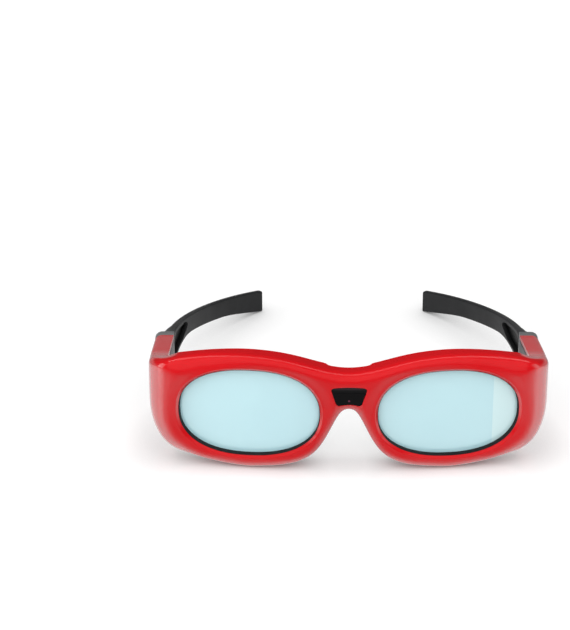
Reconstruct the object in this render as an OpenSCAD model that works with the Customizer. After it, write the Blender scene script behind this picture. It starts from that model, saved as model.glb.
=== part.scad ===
// Active-shutter 3D glasses: moulded front shell, rear cover, two liquid-crystal shutters,
// sync receiver, coin-cell electronics and two folding arms.
// +X is the wearer's left, the front faces -Y, the arms run to +Y, Z is up from the table.

/* [Front in plan] */
// Half of the width over the outer faces of the two stubs
half_w = 86; // [83:0.5:90]
// Radius of the base curve across both lenses
base_r = 480; // [360:10:700]
// Radius of the corner between the face and a stub
corner_r = 14; // [13:0.5:16]
// Distance from the bridge's face to the rear end of the red stubs
stub_y = 60; // [56:0.5:66]

/* [Front in elevation] */
// Height of the brow's crest above the table
brow_z = 54; // [53:0.5:56]
// Drop of the top edge from the brow's crest to the bridge
bridge_drop = 7.4; // [6:0.1:9]
// Distance along the face over which the brow dips to the bridge
bridge_dip = 23; // [20:0.5:26]
// Height of the bridge from the nose arch to the top edge
bridge_h = 17.6; // [17:0.1:19]
// Half-width of the nose arch at the height of a nose's side
arch_half = 10.3; // [9.5:0.1:10.6]
// Drop of the top edge from the brow's crest to the end of a stub
stub_drop = 17.6; // [16:0.1:19]
// Height of a stub at its end
stub_h = 16.2; // [15.5:0.1:17]

/* [Shell] */
// Depth of the red shell across the face
shell_d = 9.5; // [9:0.1:11]
// Depth of the red shell over the bridge, where the rear cover steps forward
bridge_d = 8; // [7.6:0.1:9]
// Thickness of a stub from its outer face to its inner face
stub_d = 8.5; // [8.3:0.1:9.5]
// Wall of the shell at its edges and face
wall = 1.8; // [1.5:0.1:2]
// Depth of the rounding along the top edge
brow_roll_n = 4.4; // [4:0.1:5]
// Height of the rounding along the top edge
brow_roll_z = 4; // [3.6:0.1:4.4]
// Rounding along the bottom edge of the rims
rim_roll = 3.4; // [3:0.1:4]
// Depth of the rounding along the bottom edge of a stub
stub_roll_n = 6.4; // [5:0.1:6.8]
// Height of the rounding along the bottom edge of a stub, at the corner
stub_roll_z = 16; // [12:0.5:17]

/* [Rear cover] */
// Depth of the rear cover's back face behind the front face
cover_d = 13.5; // [13:0.1:14.5]
// Thickness of the rear cover along the stubs
cover_t = 1.8; // [1.6:0.1:2]
// Rounding of the rear cover's back edges
cover_roll = 2.6; // [2:0.1:3]
// Half-length of the nose saddle, where the rear cover laps over the shell's edge
saddle_s = 25; // [20:0.5:28]
// Flare of the rear lens openings
flare = 2; // [1.6:0.1:2.4]

/* [Lenses] */
// Width of the face from a lens opening to the outer face of a stub
temple_w = 13.6; // [13:0.1:15]
// Distance along the face from the bridge to a lens opening
nose_w = 12; // [11.8:0.1:13]
// Height of the brow above a lens opening
brow_band = 6.5; // [6:0.1:7]
// Height of the rim below a lens opening
rim_band = 6.1; // [5.6:0.1:6.6]
// Squareness of the lens outline, where 2 is an ellipse
lens_power = 2.4; // [2.2:0.05:2.6]
// Lean of the lens outline towards the brow's outer end
lens_lean = 0.13; // [0.05:0.01:0.18]
// Width of the bevel round a lens opening
lens_bevel = 1.2; // [0.8:0.1:1.4]
// Width of the shallow dish that surrounds each lens opening
dish_w = 4; // [3:0.1:5]
// Depth from the face to the front of a shutter
shutter_n = 4.7; // [4.4:0.1:4.9]
// Thickness of a shutter
shutter_t = 2.1; // [1.8:0.1:2.2]
// Overlap of a shutter behind the edge of its opening
shutter_lap = 0.9; // [0.7:0.1:1]

/* [Sync receiver] */
// Width of the window along its top edge
window_top_w = 14.9; // [14:0.1:16]
// Width of the window along its bottom edge
window_low_w = 10; // [9:0.1:11]
// Height of the window
window_h = 8.6; // [8:0.1:9]
// Height of the window's middle above the nose arch
window_up = 7.5; // [7.2:0.1:8]
// Radius of the window's corners
window_r = 1.3; // [0.8:0.1:1.6]
// Thickness of the window
window_t = 2.4; // [2.2:0.1:2.8]

/* [Arms] */
// Length of an arm along its inner face
arm_len = 107; // [100:1:114]
// Length of the straight stretch at an arm's root
arm_straight = 8; // [6:0.5:12]
// Radius of an arm's bend in plan
arm_r = 135; // [125:1:160]
// Direction of an arm at its root, turned in from straight back
arm_start = 2; // [1:0.5:4]
// Thickness of an arm's blade
arm_t = 4.2; // [4:0.1:4.4]
// Amount by which an arm's root is lower than the stub's end
root_in = 1.2; // [0.8:0.1:1.6]
// Height of an arm along its middle
waist_h = 8.8; // [8.4:0.1:10]
// Height of an arm at its end
tip_h = 10.7; // [9.5:0.1:11.5]
// Length of the outer step at an arm's root
step_one = 16; // [13:0.5:18]
// Length of the inner step at an arm's root
step_two = 30; // [26:0.5:34]
// Length of the hinge recess along the arm's inner face
recess_len = 24; // [20:0.5:28]

/* [Hinges] */
// Length of the grey collar between a stub and an arm
collar_len = 4.2; // [3.6:0.1:5]
// Radius of a hinge pin
pin_r = 1; // [0.8:0.05:1.1]
// Distance from the collar's rear face back to the pin
pin_back = 4.6; // [4.4:0.1:5]
// Distance from the stub's inner face out to the pin
pin_in = 3.3; // [3.2:0.1:3.6]
// Radius of the tongue's eye
eye_r = 2.7; // [2.4:0.1:2.8]
// Height of the tongue
tongue_h = 5; // [4:0.1:6]
// Thickness of a washer above or below the tongue
washer_t = 0.4; // [0.3:0.05:0.5]

/* [Power] */
// Radius of the coin cell
cell_r = 10; // [9:0.1:10]
// Thickness of the coin cell
cell_t = 3.2; // [2.5:0.1:3.2]
// Distance from the bridge's face back to the cell's centre
cell_y = 31; // [30:0.5:33]
// Length of the power button
button_len = 9; // [7:0.5:10]
// Width of the power button
button_w = 2.8; // [2.4:0.1:3]
// Distance from the bridge's face back to the power button
button_y = 38; // [36:0.5:40]
// Travel of the power button
button_travel = 0.5; // [0.3:0.05:0.6]

/* [Fits] */
// Gap between pieces that plug together
fit = 0.1; // [0.06:0.02:0.14]
// Gap between pieces that move past each other
run = 0.35; // [0.3:0.05:0.45]
// Gap between a hinge pin and the eye that turns on it
pin_gap = 0.05; // [0.02:0.01:0.08]

/* [Hidden] */
$fn = 48;

// Facets of a rolled edge, and of a lens outline
roll_steps = 4;
lens_steps = 48;
// Amount that a cutter runs past the face it cuts
over = 1;

// Heights that follow the brow, and the lens outline between brow, rim, nose and temple
bridge_z = brow_z - bridge_drop;
arch_z = bridge_z - bridge_h;
stub_top = brow_z - stub_drop;
stub_low = stub_top - stub_h;
window_z = arch_z + window_up;
lens_a = (half_w - temple_w - nose_w) / 2;
lens_s = nose_w + lens_a;
lens_b = (brow_z - brow_band - rim_band) / 2;
lens_z = rim_band + lens_b;
rim_s = lens_s;
brow_out = -2.2;
brow_s = lens_s + brow_out;
root_h = stub_h - root_in;

// Plan curve: base arc, corner arc, straight stub
corner_a = asin((half_w - corner_r) / (base_r - corner_r));
corner_y = base_r - (base_r - corner_r) * cos(corner_a);
s_corner = base_r * corner_a * PI / 180;
s_stub = s_corner + corner_r * (90 - corner_a) * PI / 180;
s_end = s_stub + stub_y - corner_y;
collar_y = stub_y + collar_len;

// Softness of the bends in the top and bottom edges, steepness of the nose arch,
// and the short stretch over which the shell's back steps in at the bridge
top_soft = 40;
low_soft = 14;
arch_power = 2.5;
arch_low = 6.9;
arch_at = arch_low + arch_z / 4;
arch_r = arch_half / pow(arch_z / arch_at - 1, 1 / arch_power);
bridge_half = 8.5;
bridge_step = 2;

function mix(a, b, t) = a + (b - a) * t;
function ease(t) = let (u = max(0, min(1, t))) u * u * (3 - 2 * u);
function soft(d, w) = d <= 0 ? 0 : sqrt(d * d + w * w) - w;
function power(v, p) = v < 0 ? -pow(-v, p) : pow(v, p);
function bell(s) = 1 / (1 + pow(s / arch_r, arch_power));

// Share of the way from the face round to the stub
function turn(s) = ease((s - s_corner + corner_r) / (s_stub - s_corner + corner_r));
function top_z(s) = brow_z - (brow_z - bridge_z) * exp(-pow(s / bridge_dip, 2))
    - (brow_z - stub_top) * soft(s - brow_s, top_soft) / soft(s_end - brow_s, top_soft);
function low_z(s) = (s < rim_s ? arch_z * (bell(s) - bell(rim_s)) / (1 - bell(rim_s)) : 0)
    + stub_low * soft(s - rim_s, low_soft) / soft(s_end - rim_s, low_soft);
function shell_back(s) = mix(mix(bridge_d, shell_d, ease((s - bridge_half) / bridge_step)), stub_d, turn(s));
function cover_front(s) = mix(shutter_n + shutter_t + fit, stub_d - cover_t, turn(s));
function cover_back(s) = mix(cover_d, stub_d, turn(s));
function low_roll_n(s) = mix(rim_roll, stub_roll_n, turn(s));
function low_roll_z(s) = let (share = (top_z(s) - low_z(s)) / (top_z(s_stub) - low_z(s_stub)))
    mix(rim_roll, stub_roll_z * share, turn(s));

// Growth of an upright offset where the bottom edge is steep, so that a wall keeps its thickness.
// Then the direction of the plan curve, and a point at a depth n behind it.
function low_lean(s) = let (d = (low_z(s + 0.1) - low_z(abs(s - 0.1))) / 0.2) sqrt(1 + d * d);
function heading(s) = s < s_corner ? s / base_r * 180 / PI
    : s < s_stub ? corner_a + (s - s_corner) / corner_r * 180 / PI : 90;
function plan(s) = s < s_corner ? base_r * [sin(heading(s)), 1 - cos(heading(s))]
    : [half_w - corner_r, corner_y] + corner_r * [sin(heading(s)), -cos(heading(s))]
        + [0, max(0, s - s_stub)];
function at(s, n, z) = let (a = abs(s), h = heading(a), p = plan(a))
    [(s < 0 ? -1 : 1) * (p.x - n * sin(h)), p.y + n * cos(h), z];

// Stations along half of the front, closer together at the nose and round the corner
nose_half = 16.2;
half_stations = concat(
    [for (i = [0:9]) nose_half * i / 9],
    [for (i = [1:13]) mix(nose_half, s_corner, i / 13)],
    [for (i = [1:8]) mix(s_corner, s_stub, i / 8)],
    [for (i = [1:5]) mix(s_stub, s_end, i / 5)]);
function mirrored(list) = concat([for (i = [len(list) - 1:-1:1]) -list[i]], list);
stations = mirrored(half_stations);
function within(list, limit) = mirrored(concat([for (s = list) if (s < limit - 0.3) s], [limit]));

// Skin over closed rings of equal length
module skin(rings) {
    m = len(rings[0]);
    points = [for (r = rings) for (p = r) p];
    sides = [for (k = [0:len(rings) - 2]) for (j = [0:m - 1])
        let (a = k * m + j, b = k * m + (j + 1) % m)
        each [[a, b, b + m], [a, b + m, a + m]]];
    first = [for (j = [m - 1:-1:0]) j];
    last = [for (j = [0:m - 1]) (len(rings) - 1) * m + j];
    polyhedron(points, concat(sides, [first, last]));
}

function quarter(i) = 90 * i / roll_steps;
// Flat left between the lower and the upper roll
roll_gap = 0.4;
// Section of the shell, moved inwards by a wall, from a back depth round the rolled front
function shell_section(s, back, inset) =
    let (a = abs(s), zt = top_z(a), zb = low_z(a) + inset * low_lean(a), bn = low_roll_n(a),
        bz = min(max(low_roll_z(a), bn) - inset, zt - brow_roll_z - zb - roll_gap))
    concat([[back, zb]],
        [for (i = [0:roll_steps])
            [bn - (bn - inset) * sin(quarter(i)), zb + bz - bz * cos(quarter(i))]],
        [for (i = [0:roll_steps])
            [brow_roll_n - (brow_roll_n - inset) * cos(quarter(i)),
                zt - brow_roll_z + (brow_roll_z - inset) * sin(quarter(i))]],
        [[back, zt - inset]]);
// Section of the rear cover: a plug in the shell's mouth, and a back with rolled edges
function cover_section(s) =
    let (a = abs(s), front = cover_front(a), back = cover_back(a),
        step = mix(shell_d + fit, back - cover_t / 2, turn(a)),
        zt = top_z(a) - plug_inset, zb = low_z(a) + plug_inset * low_lean(a),
        back_low = a < saddle_s ? low_z(a) : zb + reveal, back_top = zt - reveal,
        r = min(cover_roll, (back - step) / 2))
    concat(
        [for (i = [0:roll_steps])
            [back - r + r * cos(quarter(i)), back_low + r - r * sin(quarter(i))]],
        [[step, back_low], [step, zb], [front, zb], [front, zt], [step, zt], [step, back_top]],
        [for (i = [0:roll_steps])
            [back - r + r * sin(quarter(i)), back_top - r + r * cos(quarter(i))]]);
function placed(s, section) = [for (q = section) at(s, q.x, q.y)];

// Lens outline grown by g, as distance along the face and height
function lens_point(i, g) = let (q = 360 * i / lens_steps,
        v = (lens_b + g) * power(sin(q), 2 / lens_power))
    [lens_s + (lens_a + g) * power(cos(q), 2 / lens_power) + lens_lean * v, lens_z + v];
function lens_ring(n, g) = [for (i = [0:lens_steps - 1]) let (p = lens_point(i, g)) at(p.x, n, p.y)];
// Cutter with a lens outline: a list of [depth, growth] steps
module lens_loft(steps) skin([for (q = steps) lens_ring(q[0], q[1])]);
// Frame round a lens: a closed profile of [depth, growth] corners carried round the outline
module lens_frame(profile) {
    m = len(profile);
    polyhedron(
        [for (i = [0:lens_steps - 1]) for (q = profile) let (p = lens_point(i, q[1])) at(p.x, q[0], p.y)],
        [for (i = [0:lens_steps - 1]) for (j = [0:m - 1])
            let (k = (i + 1) % lens_steps, a = i * m + j, b = i * m + (j + 1) % m,
                c = k * m + (j + 1) % m, d = k * m + j)
            each [[a, b, c], [a, c, d]]]);
}
// Plate bent to the base curve, with a lens outline
module lens_plate(n, thickness, g) intersection() {
    translate([0, base_r, 0]) difference() {
        cylinder(2 * brow_z, r = base_r - n, $fn = 512);
        translate([0, 0, -over]) cylinder(2 * brow_z + 2 * over, r = base_r - n - thickness, $fn = 512);
    }
    translate([0, base_r / 4, 0]) rotate([90, 0, 0]) linear_extrude(base_r / 2) polygon(
        [for (i = [0:lens_steps - 1]) let (p = lens_point(i, g)) [at(p.x, n, 0).x, p.y]]);
}
module both() {
    children();
    mirror([1, 0, 0]) children();
}

// Arms: inner-face curve, heights and thickness
arm_y = collar_y + run;
arm_x = half_w - stub_d;
function arm_heading(l) = arm_start + max(0, l - arm_straight) / arm_r * 180 / PI;
function arm_plan(l) = [arm_x, arm_y] + min(l, arm_straight) * [-sin(arm_start), cos(arm_start)]
    + arm_r * [cos(arm_heading(l)) - cos(arm_start), sin(arm_heading(l)) - sin(arm_start)];
arm_drop = 1.4;
arm_sag = 0.9;
function arm_top(l) = mix(stub_top - arm_drop, tip_h, l / arm_len) - arm_sag * sin(180 * l / arm_len);
function arm_height(l) = waist_h + (root_h - waist_h) * (1 - ease(l / (0.4 * arm_len)))
    + (tip_h - waist_h) * ease((l / arm_len - 0.7) / 0.3);
function arm_low(l) = arm_top(l) - arm_height(l);
function arm_at(l, m, z) = let (h = arm_heading(l), p = arm_plan(l))
    [p.x + m * cos(h), p.y + m * sin(h), z];
total_d = arm_at(arm_len, arm_t, 0).y;
pin_x = arm_x + pin_in;
pin_y = collar_y + pin_back;
tongue_z = (arm_top(0) + arm_low(0)) / 2;

// Every piece is set so that the origin is under the middle of the whole object
module seated() translate([0, -total_d / 2, 0]) children();

// Front shell: one moulding with two lens openings, a window and hollow stubs
module shell_body() skin([for (s = stations) placed(s, shell_section(s, shell_back(abs(s)), 0))]);
// The same moulding as a wall open to the back: outer section, then inner section, at each station
module shell_wall() {
    m = len(shell_section(0, shell_back(0), 0));
    rings = [for (s = stations) let (back = shell_back(abs(s)), inner = shell_section(s, back, wall))
        placed(s, concat(shell_section(s, back, 0), [for (j = [m - 1:-1:0]) inner[j]]))];
    last = 2 * m * (len(stations) - 1);
    polyhedron([for (r = rings) for (p = r) p], concat(
        [for (k = [0:len(rings) - 2]) for (j = [0:2 * m - 1])
            let (a = 2 * m * k + j, b = 2 * m * k + (j + 1) % (2 * m))
            each [[a, b, b + 2 * m], [a, b + 2 * m, a + 2 * m]]],
        [for (j = [0:m - 2]) let (c = 2 * m - 1 - j)
            each [[j, c, c - 1], [j, c - 1, j + 1], [last + j, last + c - 1, last + c],
                [last + j, last + j + 1, last + c - 1]]]));
}
dish_d = 0.7;
dish_over = 0.2;
dish_grow = lens_bevel + dish_w * (1 + dish_over / dish_d);
lens_back = at(lens_s + lens_a + lens_lean * lens_b, wall, 0).y + over;
module lens_cut() let (brim = lens_ring(-dish_over, dish_grow), edge = lens_ring(wall, 0))
    skin([[for (p = brim) [p.x, -3 * over, p.z]], brim, lens_ring(dish_d, lens_bevel), edge,
        [for (p = edge) [p.x, lens_back, p.z]]]);

// Window outline in elevation: a trapezoid with round corners, hollowed over the nose arch
hollow_r = 9.2;
hollow_d = 0.8;
module window_outline(grow) {
    difference() {
        hull() for (side = [-1, 1]) {
            translate([side * (window_top_w / 2 - window_r), window_h / 2 - window_r])
                circle(window_r + grow, $fn = 24);
            translate([side * (window_low_w / 2 - window_r), window_r - window_h / 2])
                circle(window_r + grow, $fn = 24);
        }
        translate([0, hollow_d - window_h / 2 - hollow_r]) circle(hollow_r - grow, $fn = 64);
    }
}
module window_prism(y0, y1, grow)
    translate([0, y1, window_z]) rotate([90, 0, 0]) linear_extrude(y1 - y0) window_outline(grow);

// Power button: a capsule seen from below, its boss in the shell and its flange above the boss
module capsule(length, width, height)
    linear_extrude(height) {
        square([width, length - width], center = true);
        for (side = [-1, 1]) translate([0, side * (length - width) / 2]) circle(width / 2);
    }
button_s = s_stub + button_y - corner_y;
button_n = stub_roll_n - 1;
button_x = half_w - button_n;
button_proud = 0.9;
button_low = low_z(button_s) - button_proud;
button_fall = atan((low_z(button_s + over) - low_z(button_s - over)) / (2 * over));
boss_wall = 0.7;
boss_h = 2.4;
boss_len = button_len + 2 * (run + boss_wall);
boss_w = button_w + 2 * (run + boss_wall);
boss_top = low_z(button_s) + wall + boss_h;
flange_t = 0.6;
flange_lap = 0.7;
switch_t = 1.4;
board_t = 0.8;
pcb_low = boss_top + fit + flange_t + button_travel + fit + switch_t + fit;
module at_button(z) translate([-button_x, button_y, z]) children();

// Coin cell under the flexible strip along the brow, with a contact clip between them
film_t = 0.2;
flex_n = 4;
flex_w = 1.5;
flex_drop = wall + 0.3;
clip_t = 0.3;
flex_s = s_stub + cell_y - corner_y;
cell_z = top_z(flex_s) - flex_drop - flex_w - fit - clip_t - fit - cell_r;

// Screw of the battery door, and its boss in the shell
screw_gap = 4.6;
screw_y = cell_y + cell_r + screw_gap;
screw_r = 0.7;
screw_head_r = 1.5;
screw_head_t = 0.6;
screw_len = 4.4;
screw_boss_r = 1.8;
screw_boss_n = stub_d - cover_t - fit;
module along_x(x, y, z, length, radius) translate([x, y, z]) rotate([0, 90, 0]) cylinder(length, r = radius);

module front_shell() color([0.8, 0.11, 0.14]) seated() difference() {
    union() {
        shell_wall();
        intersection() {
            shell_body();
            at_button(0) capsule(boss_len, boss_w, boss_top);
        }
        along_x(half_w - screw_boss_n, screw_y, cell_z, screw_boss_n - wall / 2, screw_boss_r);
    }
    both() lens_cut();
    window_prism(-over, wall + over, fit);
    at_button(0) capsule(button_len + 2 * run, button_w + 2 * run, boss_top + over);
    along_x(half_w - stub_d, screw_y, cell_z, screw_len + fit, screw_r + pin_gap);
}

// Rear cover: plugs into the shell's mouth and laps over its edge at the nose
plug_inset = wall + 3 * fit;
reveal = 0.3;
saddle_edge = 0.3;
cover_stations = mirrored(concat([for (s = half_stations) if (s < saddle_s - 1) s],
    [saddle_s - saddle_edge, saddle_s + saddle_edge], [for (s = half_stations) if (s > saddle_s + 1) s]));
module cover_body() skin([for (s = cover_stations) placed(s, cover_section(s))]);
opening_in = 0.4;
opening_lip = 1;
door_r = cell_r + 1.4;
door_seat_r = cell_r + 0.6;
door_ear_r = screw_head_r + 1.1;
door_n = stub_d - cover_t / 2;
module door_outline(grow) {
    circle(door_r + grow, $fn = 96);
    translate([screw_y - cell_y, 0]) circle(door_ear_r + grow, $fn = 48);
    translate([0, -door_ear_r - grow]) square([screw_y - cell_y, 2 * (door_ear_r + grow)]);
}
module door_plate(n0, n1, grow)
    translate([half_w - n1, cell_y, cell_z]) rotate([90, 0, 90]) linear_extrude(n1 - n0) door_outline(grow);
module rear_cover() color([0.16, 0.16, 0.17]) seated() difference() {
    cover_body();
    both() lens_loft([[shutter_n, -opening_in], [shutter_n + shutter_t + opening_lip, -opening_in],
        [cover_d, flare], [cover_d + over, flare + opening_in]]);
    door_plate(door_n - fit, stub_d + over, fit);
    along_x(half_w - stub_d - over, cell_y, cell_z, stub_d, door_seat_r);
    along_x(half_w - stub_d - over, screw_y, cell_z, stub_d, screw_r + fit);
    at_button(0) capsule(boss_len + 2 * run, boss_w + 2 * run, pcb_low);
}

// Sync receiver: window with a bevelled upper part, photodiode with a lens, and their board
window_lean = 20;
module sensor_window() color([0.05, 0.05, 0.06]) seated() difference() {
    window_prism(0, window_t, 0);
    translate([-window_top_w, 0, window_z + window_h / 5]) rotate([-window_lean, 0, 0])
        translate([0, -window_t, 0]) cube([2 * window_top_w, window_t, window_h]);
}
diode_w = 4.4;
diode_h = 4;
diode_t = 1.1;
diode_lens_r = 1.1;
diode_lens_t = 0.4;
diode_z = window_z - 0.6;
diode_y = window_t + fit + diode_lens_t;
board_y = diode_y + diode_t;
board_w = 14;
board_h = 8.2;
module photodiode() color([0.3, 0.12, 0.2]) seated() translate([0, diode_y, diode_z]) {
    translate([-diode_w / 2, 0, -diode_h / 2]) cube([diode_w, diode_t, diode_h]);
    rotate([90, 0, 0]) cylinder(diode_lens_t, r = diode_lens_r);
}
module sensor_board() color([0.1, 0.4, 0.2]) seated()
    translate([-board_w / 2, board_y, window_z - board_h / 2]) cube([board_w, board_t, board_h]);

// Liquid-crystal shutters, the black gaskets in front of them, and their flex tails
module lc_shutter(side) color([0.75, 0.9, 0.93]) seated() mirror([side < 0 ? 1 : 0, 0, 0])
    lens_plate(shutter_n, shutter_t, shutter_lap);
gasket_out = shutter_lap + 0.3;
gasket_in = -0.6;
module lens_gasket(side) color([0.06, 0.06, 0.06]) seated() mirror([side < 0 ? 1 : 0, 0, 0])
    lens_frame([[wall + gasket_out, gasket_out], [wall + fit, 0], [wall + fit, gasket_in],
        [shutter_n - fit, gasket_in], [shutter_n - fit, gasket_out]]);
tail_s = lens_s + lens_lean * lens_b;
tail_w = 5;
tail_h = 1.5;
tail_low = lens_z + lens_b + shutter_lap + fit;
module shutter_tail(side) color([0.8, 0.5, 0.15]) seated()
    translate([side * at(tail_s, 0, 0).x - tail_w / 2, at(tail_s, shutter_n + 2 * film_t, 0).y, tail_low])
        cube([tail_w, film_t, tail_h]);
module brow_flex() color([0.8, 0.5, 0.15]) seated() skin([for (s = within(half_stations, flex_s))
    placed(s, let (zt = top_z(abs(s)) - flex_drop, back = flex_n + film_t)
        [[back, zt - flex_w], [flex_n, zt - flex_w], [flex_n, zt], [back, zt]])]);

// Electronics in the wearer's right stub: each part stands on the board's outer face
pcb_n = stub_d - cover_t - 3 * fit - board_t;
pcb_y = corner_y + 3;
pcb_len = 28;
pcb_h = 13.5;
chip = [1, 6, 6];
capacitor = [0.9, 1.6, 0.9];
coil_r = 2.4;
coil_core_r = 1.5;
coil_h = 1.6;
coil_flange = 0.4;
switch_w = 2.4;
switch_len = 4;
module on_board(dy, dz, size) translate([pcb_n - half_w - size.x, pcb_y + dy, pcb_low + dz]) cube(size);
module main_board() color([0.1, 0.4, 0.2]) seated()
    translate([pcb_n - half_w, pcb_y, pcb_low]) cube([board_t, pcb_len, pcb_h]);
module controller_chip() color([0.08, 0.08, 0.08]) seated() on_board(chip.y, chip.z, chip);
module boost_coil() color([0.25, 0.2, 0.18]) seated()
    translate([pcb_n - half_w, pcb_y + 3 * chip.y, pcb_low + 1.5 * chip.z]) rotate([0, -90, 0]) {
        cylinder(coil_flange, r = coil_r);
        cylinder(coil_h, r = coil_core_r);
        translate([0, 0, coil_h - coil_flange]) cylinder(coil_flange, r = coil_r);
    }
module capacitors() color([0.75, 0.6, 0.4]) seated()
    for (i = [1:4]) on_board(3 * i * capacitor.y, 2 * capacitor.z, capacitor);
module tact_switch() color([0.8, 0.8, 0.8]) seated() at_button(pcb_low - fit - switch_t)
    translate([-switch_w / 2, -switch_len / 2, 0]) cube([switch_w, switch_len, switch_t]);

// Power button on the underside of the wearer's right stub, its face sloped like the stub
module power_button() color([0.14, 0.14, 0.15]) seated() difference() {
    union() {
        at_button(0) capsule(button_len, button_w, boss_top + fit + flange_t);
        at_button(boss_top + fit) capsule(button_len + 2 * flange_lap, button_w - 2 * run, flange_t);
    }
    at_button(button_low) rotate([button_fall, 0, 0])
        translate([-button_len, -brow_z, -brow_z]) cube([2 * button_len, 2 * brow_z, brow_z]);
}

// Coin cell and its contacts in the wearer's left stub
cell_n = stub_d - cover_t - 4 * fit;
cell_step = 0.6;
cell_rim = 1.4;
clip_a = 60;
leaf_w = 4;
module coin_cell() color([0.75, 0.75, 0.76]) seated() {
    along_x(half_w - cell_n, cell_y, cell_z, cell_t - cell_step, cell_r);
    along_x(half_w - cell_n, cell_y, cell_z, cell_t, cell_r - cell_rim);
}
module battery_clip() color([0.8, 0.7, 0.4]) seated()
    translate([half_w - cell_n, cell_y, cell_z]) rotate([0, 90, 0]) rotate([0, 0, 180 - clip_a / 2])
        rotate_extrude(angle = clip_a) translate([cell_r + fit, 0]) square([clip_t, cell_t - cell_step]);
module battery_leaf() color([0.8, 0.7, 0.4]) seated()
    translate([half_w - cell_n + cell_t + fit / 2, cell_y - 1.5 * leaf_w, cell_z - leaf_w / 2])
        cube([clip_t, 3 * leaf_w, leaf_w]);
module battery_door() color([0.16, 0.16, 0.17]) seated() difference() {
    union() {
        door_plate(door_n, stub_d, 0);
        along_x(half_w - door_n, cell_y, cell_z, door_n - cell_n - fit, door_seat_r - 2 * fit);
    }
    along_x(half_w - stub_d - over, screw_y, cell_z, stub_d, screw_r + fit);
    along_x(half_w - stub_d - over, screw_y, cell_z, over + screw_head_t, screw_head_r + fit);
}
cross_w = 0.3;
cross_d = 0.35;
module battery_door_screw() color([0.7, 0.7, 0.72]) seated() difference() {
    union() {
        along_x(half_w - stub_d, screw_y, cell_z, screw_head_t, screw_head_r);
        along_x(half_w - stub_d, screw_y, cell_z, screw_len, screw_r);
    }
    for (turn_a = [0, 90]) translate([half_w - stub_d, screw_y, cell_z]) rotate([turn_a, 0, 0])
        translate([-over, -cross_w / 2, -3 * cross_w]) cube([over + cross_d, cross_w, 6 * cross_w]);
}

// Hinges: grey collar with a spigot in the stub and a tongue on the pin
spigot_len = 7;
spigot_gap = 0.6;
module tongue_plan(r) {
    circle(r);
    translate([-r, -pin_back - over]) square([2 * r, pin_back + over]);
}
module hinge_collar() color([0.62, 0.63, 0.64]) seated() difference() {
    union() {
        skin([for (s = [s_end + fit, s_end + collar_len]) placed(s, shell_section(s_end, stub_d, 0))]);
        skin([for (s = [s_end - spigot_len, s_end + over])
            placed(s, shell_section(s_end, stub_d - cover_t - fit, wall + spigot_gap))]);
        translate([pin_x, pin_y, tongue_z - tongue_h / 2]) linear_extrude(tongue_h) tongue_plan(eye_r);
    }
    translate([pin_x, pin_y, 0]) cylinder(brow_z, r = pin_r + pin_gap);
}
pin_reach = 3.6;
pin_low = tongue_z - tongue_h / 2 - pin_reach;
pin_len = tongue_h + 2 * pin_reach;
module hinge_pin() color([0.7, 0.7, 0.72]) seated()
    translate([pin_x, pin_y, pin_low]) cylinder(pin_len, r = pin_r);
washer_r = eye_r - 0.3;
washer_gap = 0.02;
washer_z = (tongue_h + washer_t) / 2 + washer_gap;
module hinge_washers() color([0.85, 0.85, 0.82]) seated() for (side = [-1, 1])
    translate([pin_x, pin_y, tongue_z + side * washer_z - washer_t / 2]) difference() {
        cylinder(washer_t, r = washer_r);
        translate([0, 0, -over]) cylinder(washer_t + 2 * over, r = pin_r + pin_gap);
    }

// Arms: a bent blade with two outer steps at the root, a hinge slot and a strap socket
arm_stations = [for (i = [0:18]) arm_len * i / 18];
blade_roll = 2.4;
function blade_section(l, m0, m1, inset) =
    let (zt = arm_top(l) - inset, zb = arm_low(l) + inset, r = min(blade_roll, (m1 - m0) * 0.6))
    concat([[m0, zb]],
        [for (i = [0:roll_steps]) [m1 - r + r * sin(quarter(i)), zb + r - r * cos(quarter(i))]],
        [for (i = [0:roll_steps]) [m1 - r + r * cos(quarter(i)), zt - r + r * sin(quarter(i))]],
        [[m0, zt]]);
module blade(length, m0, m1, root_in, end_in)
    skin([for (l = concat([for (a = arm_stations) if (a < length - 1) a], [length]))
        [for (q = blade_section(l, m0, m1, mix(root_in, end_in, l / length))) arm_at(l, q.x, q.y)]]);
step_t = (stub_d - arm_t) / 2;
step_in = 0.5;
step_taper = 1.8;
socket_r = 1.1;
socket_len = 6;
slot_h = tongue_h + 2 * (washer_t + fit);
slot_r = eye_r + run;
slot_in = 2 * slot_r;
recess_d = 2.2;
grip = 0.02;
recess_fall = atan((arm_top(0) - arm_top(arm_len)) / arm_len);
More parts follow.
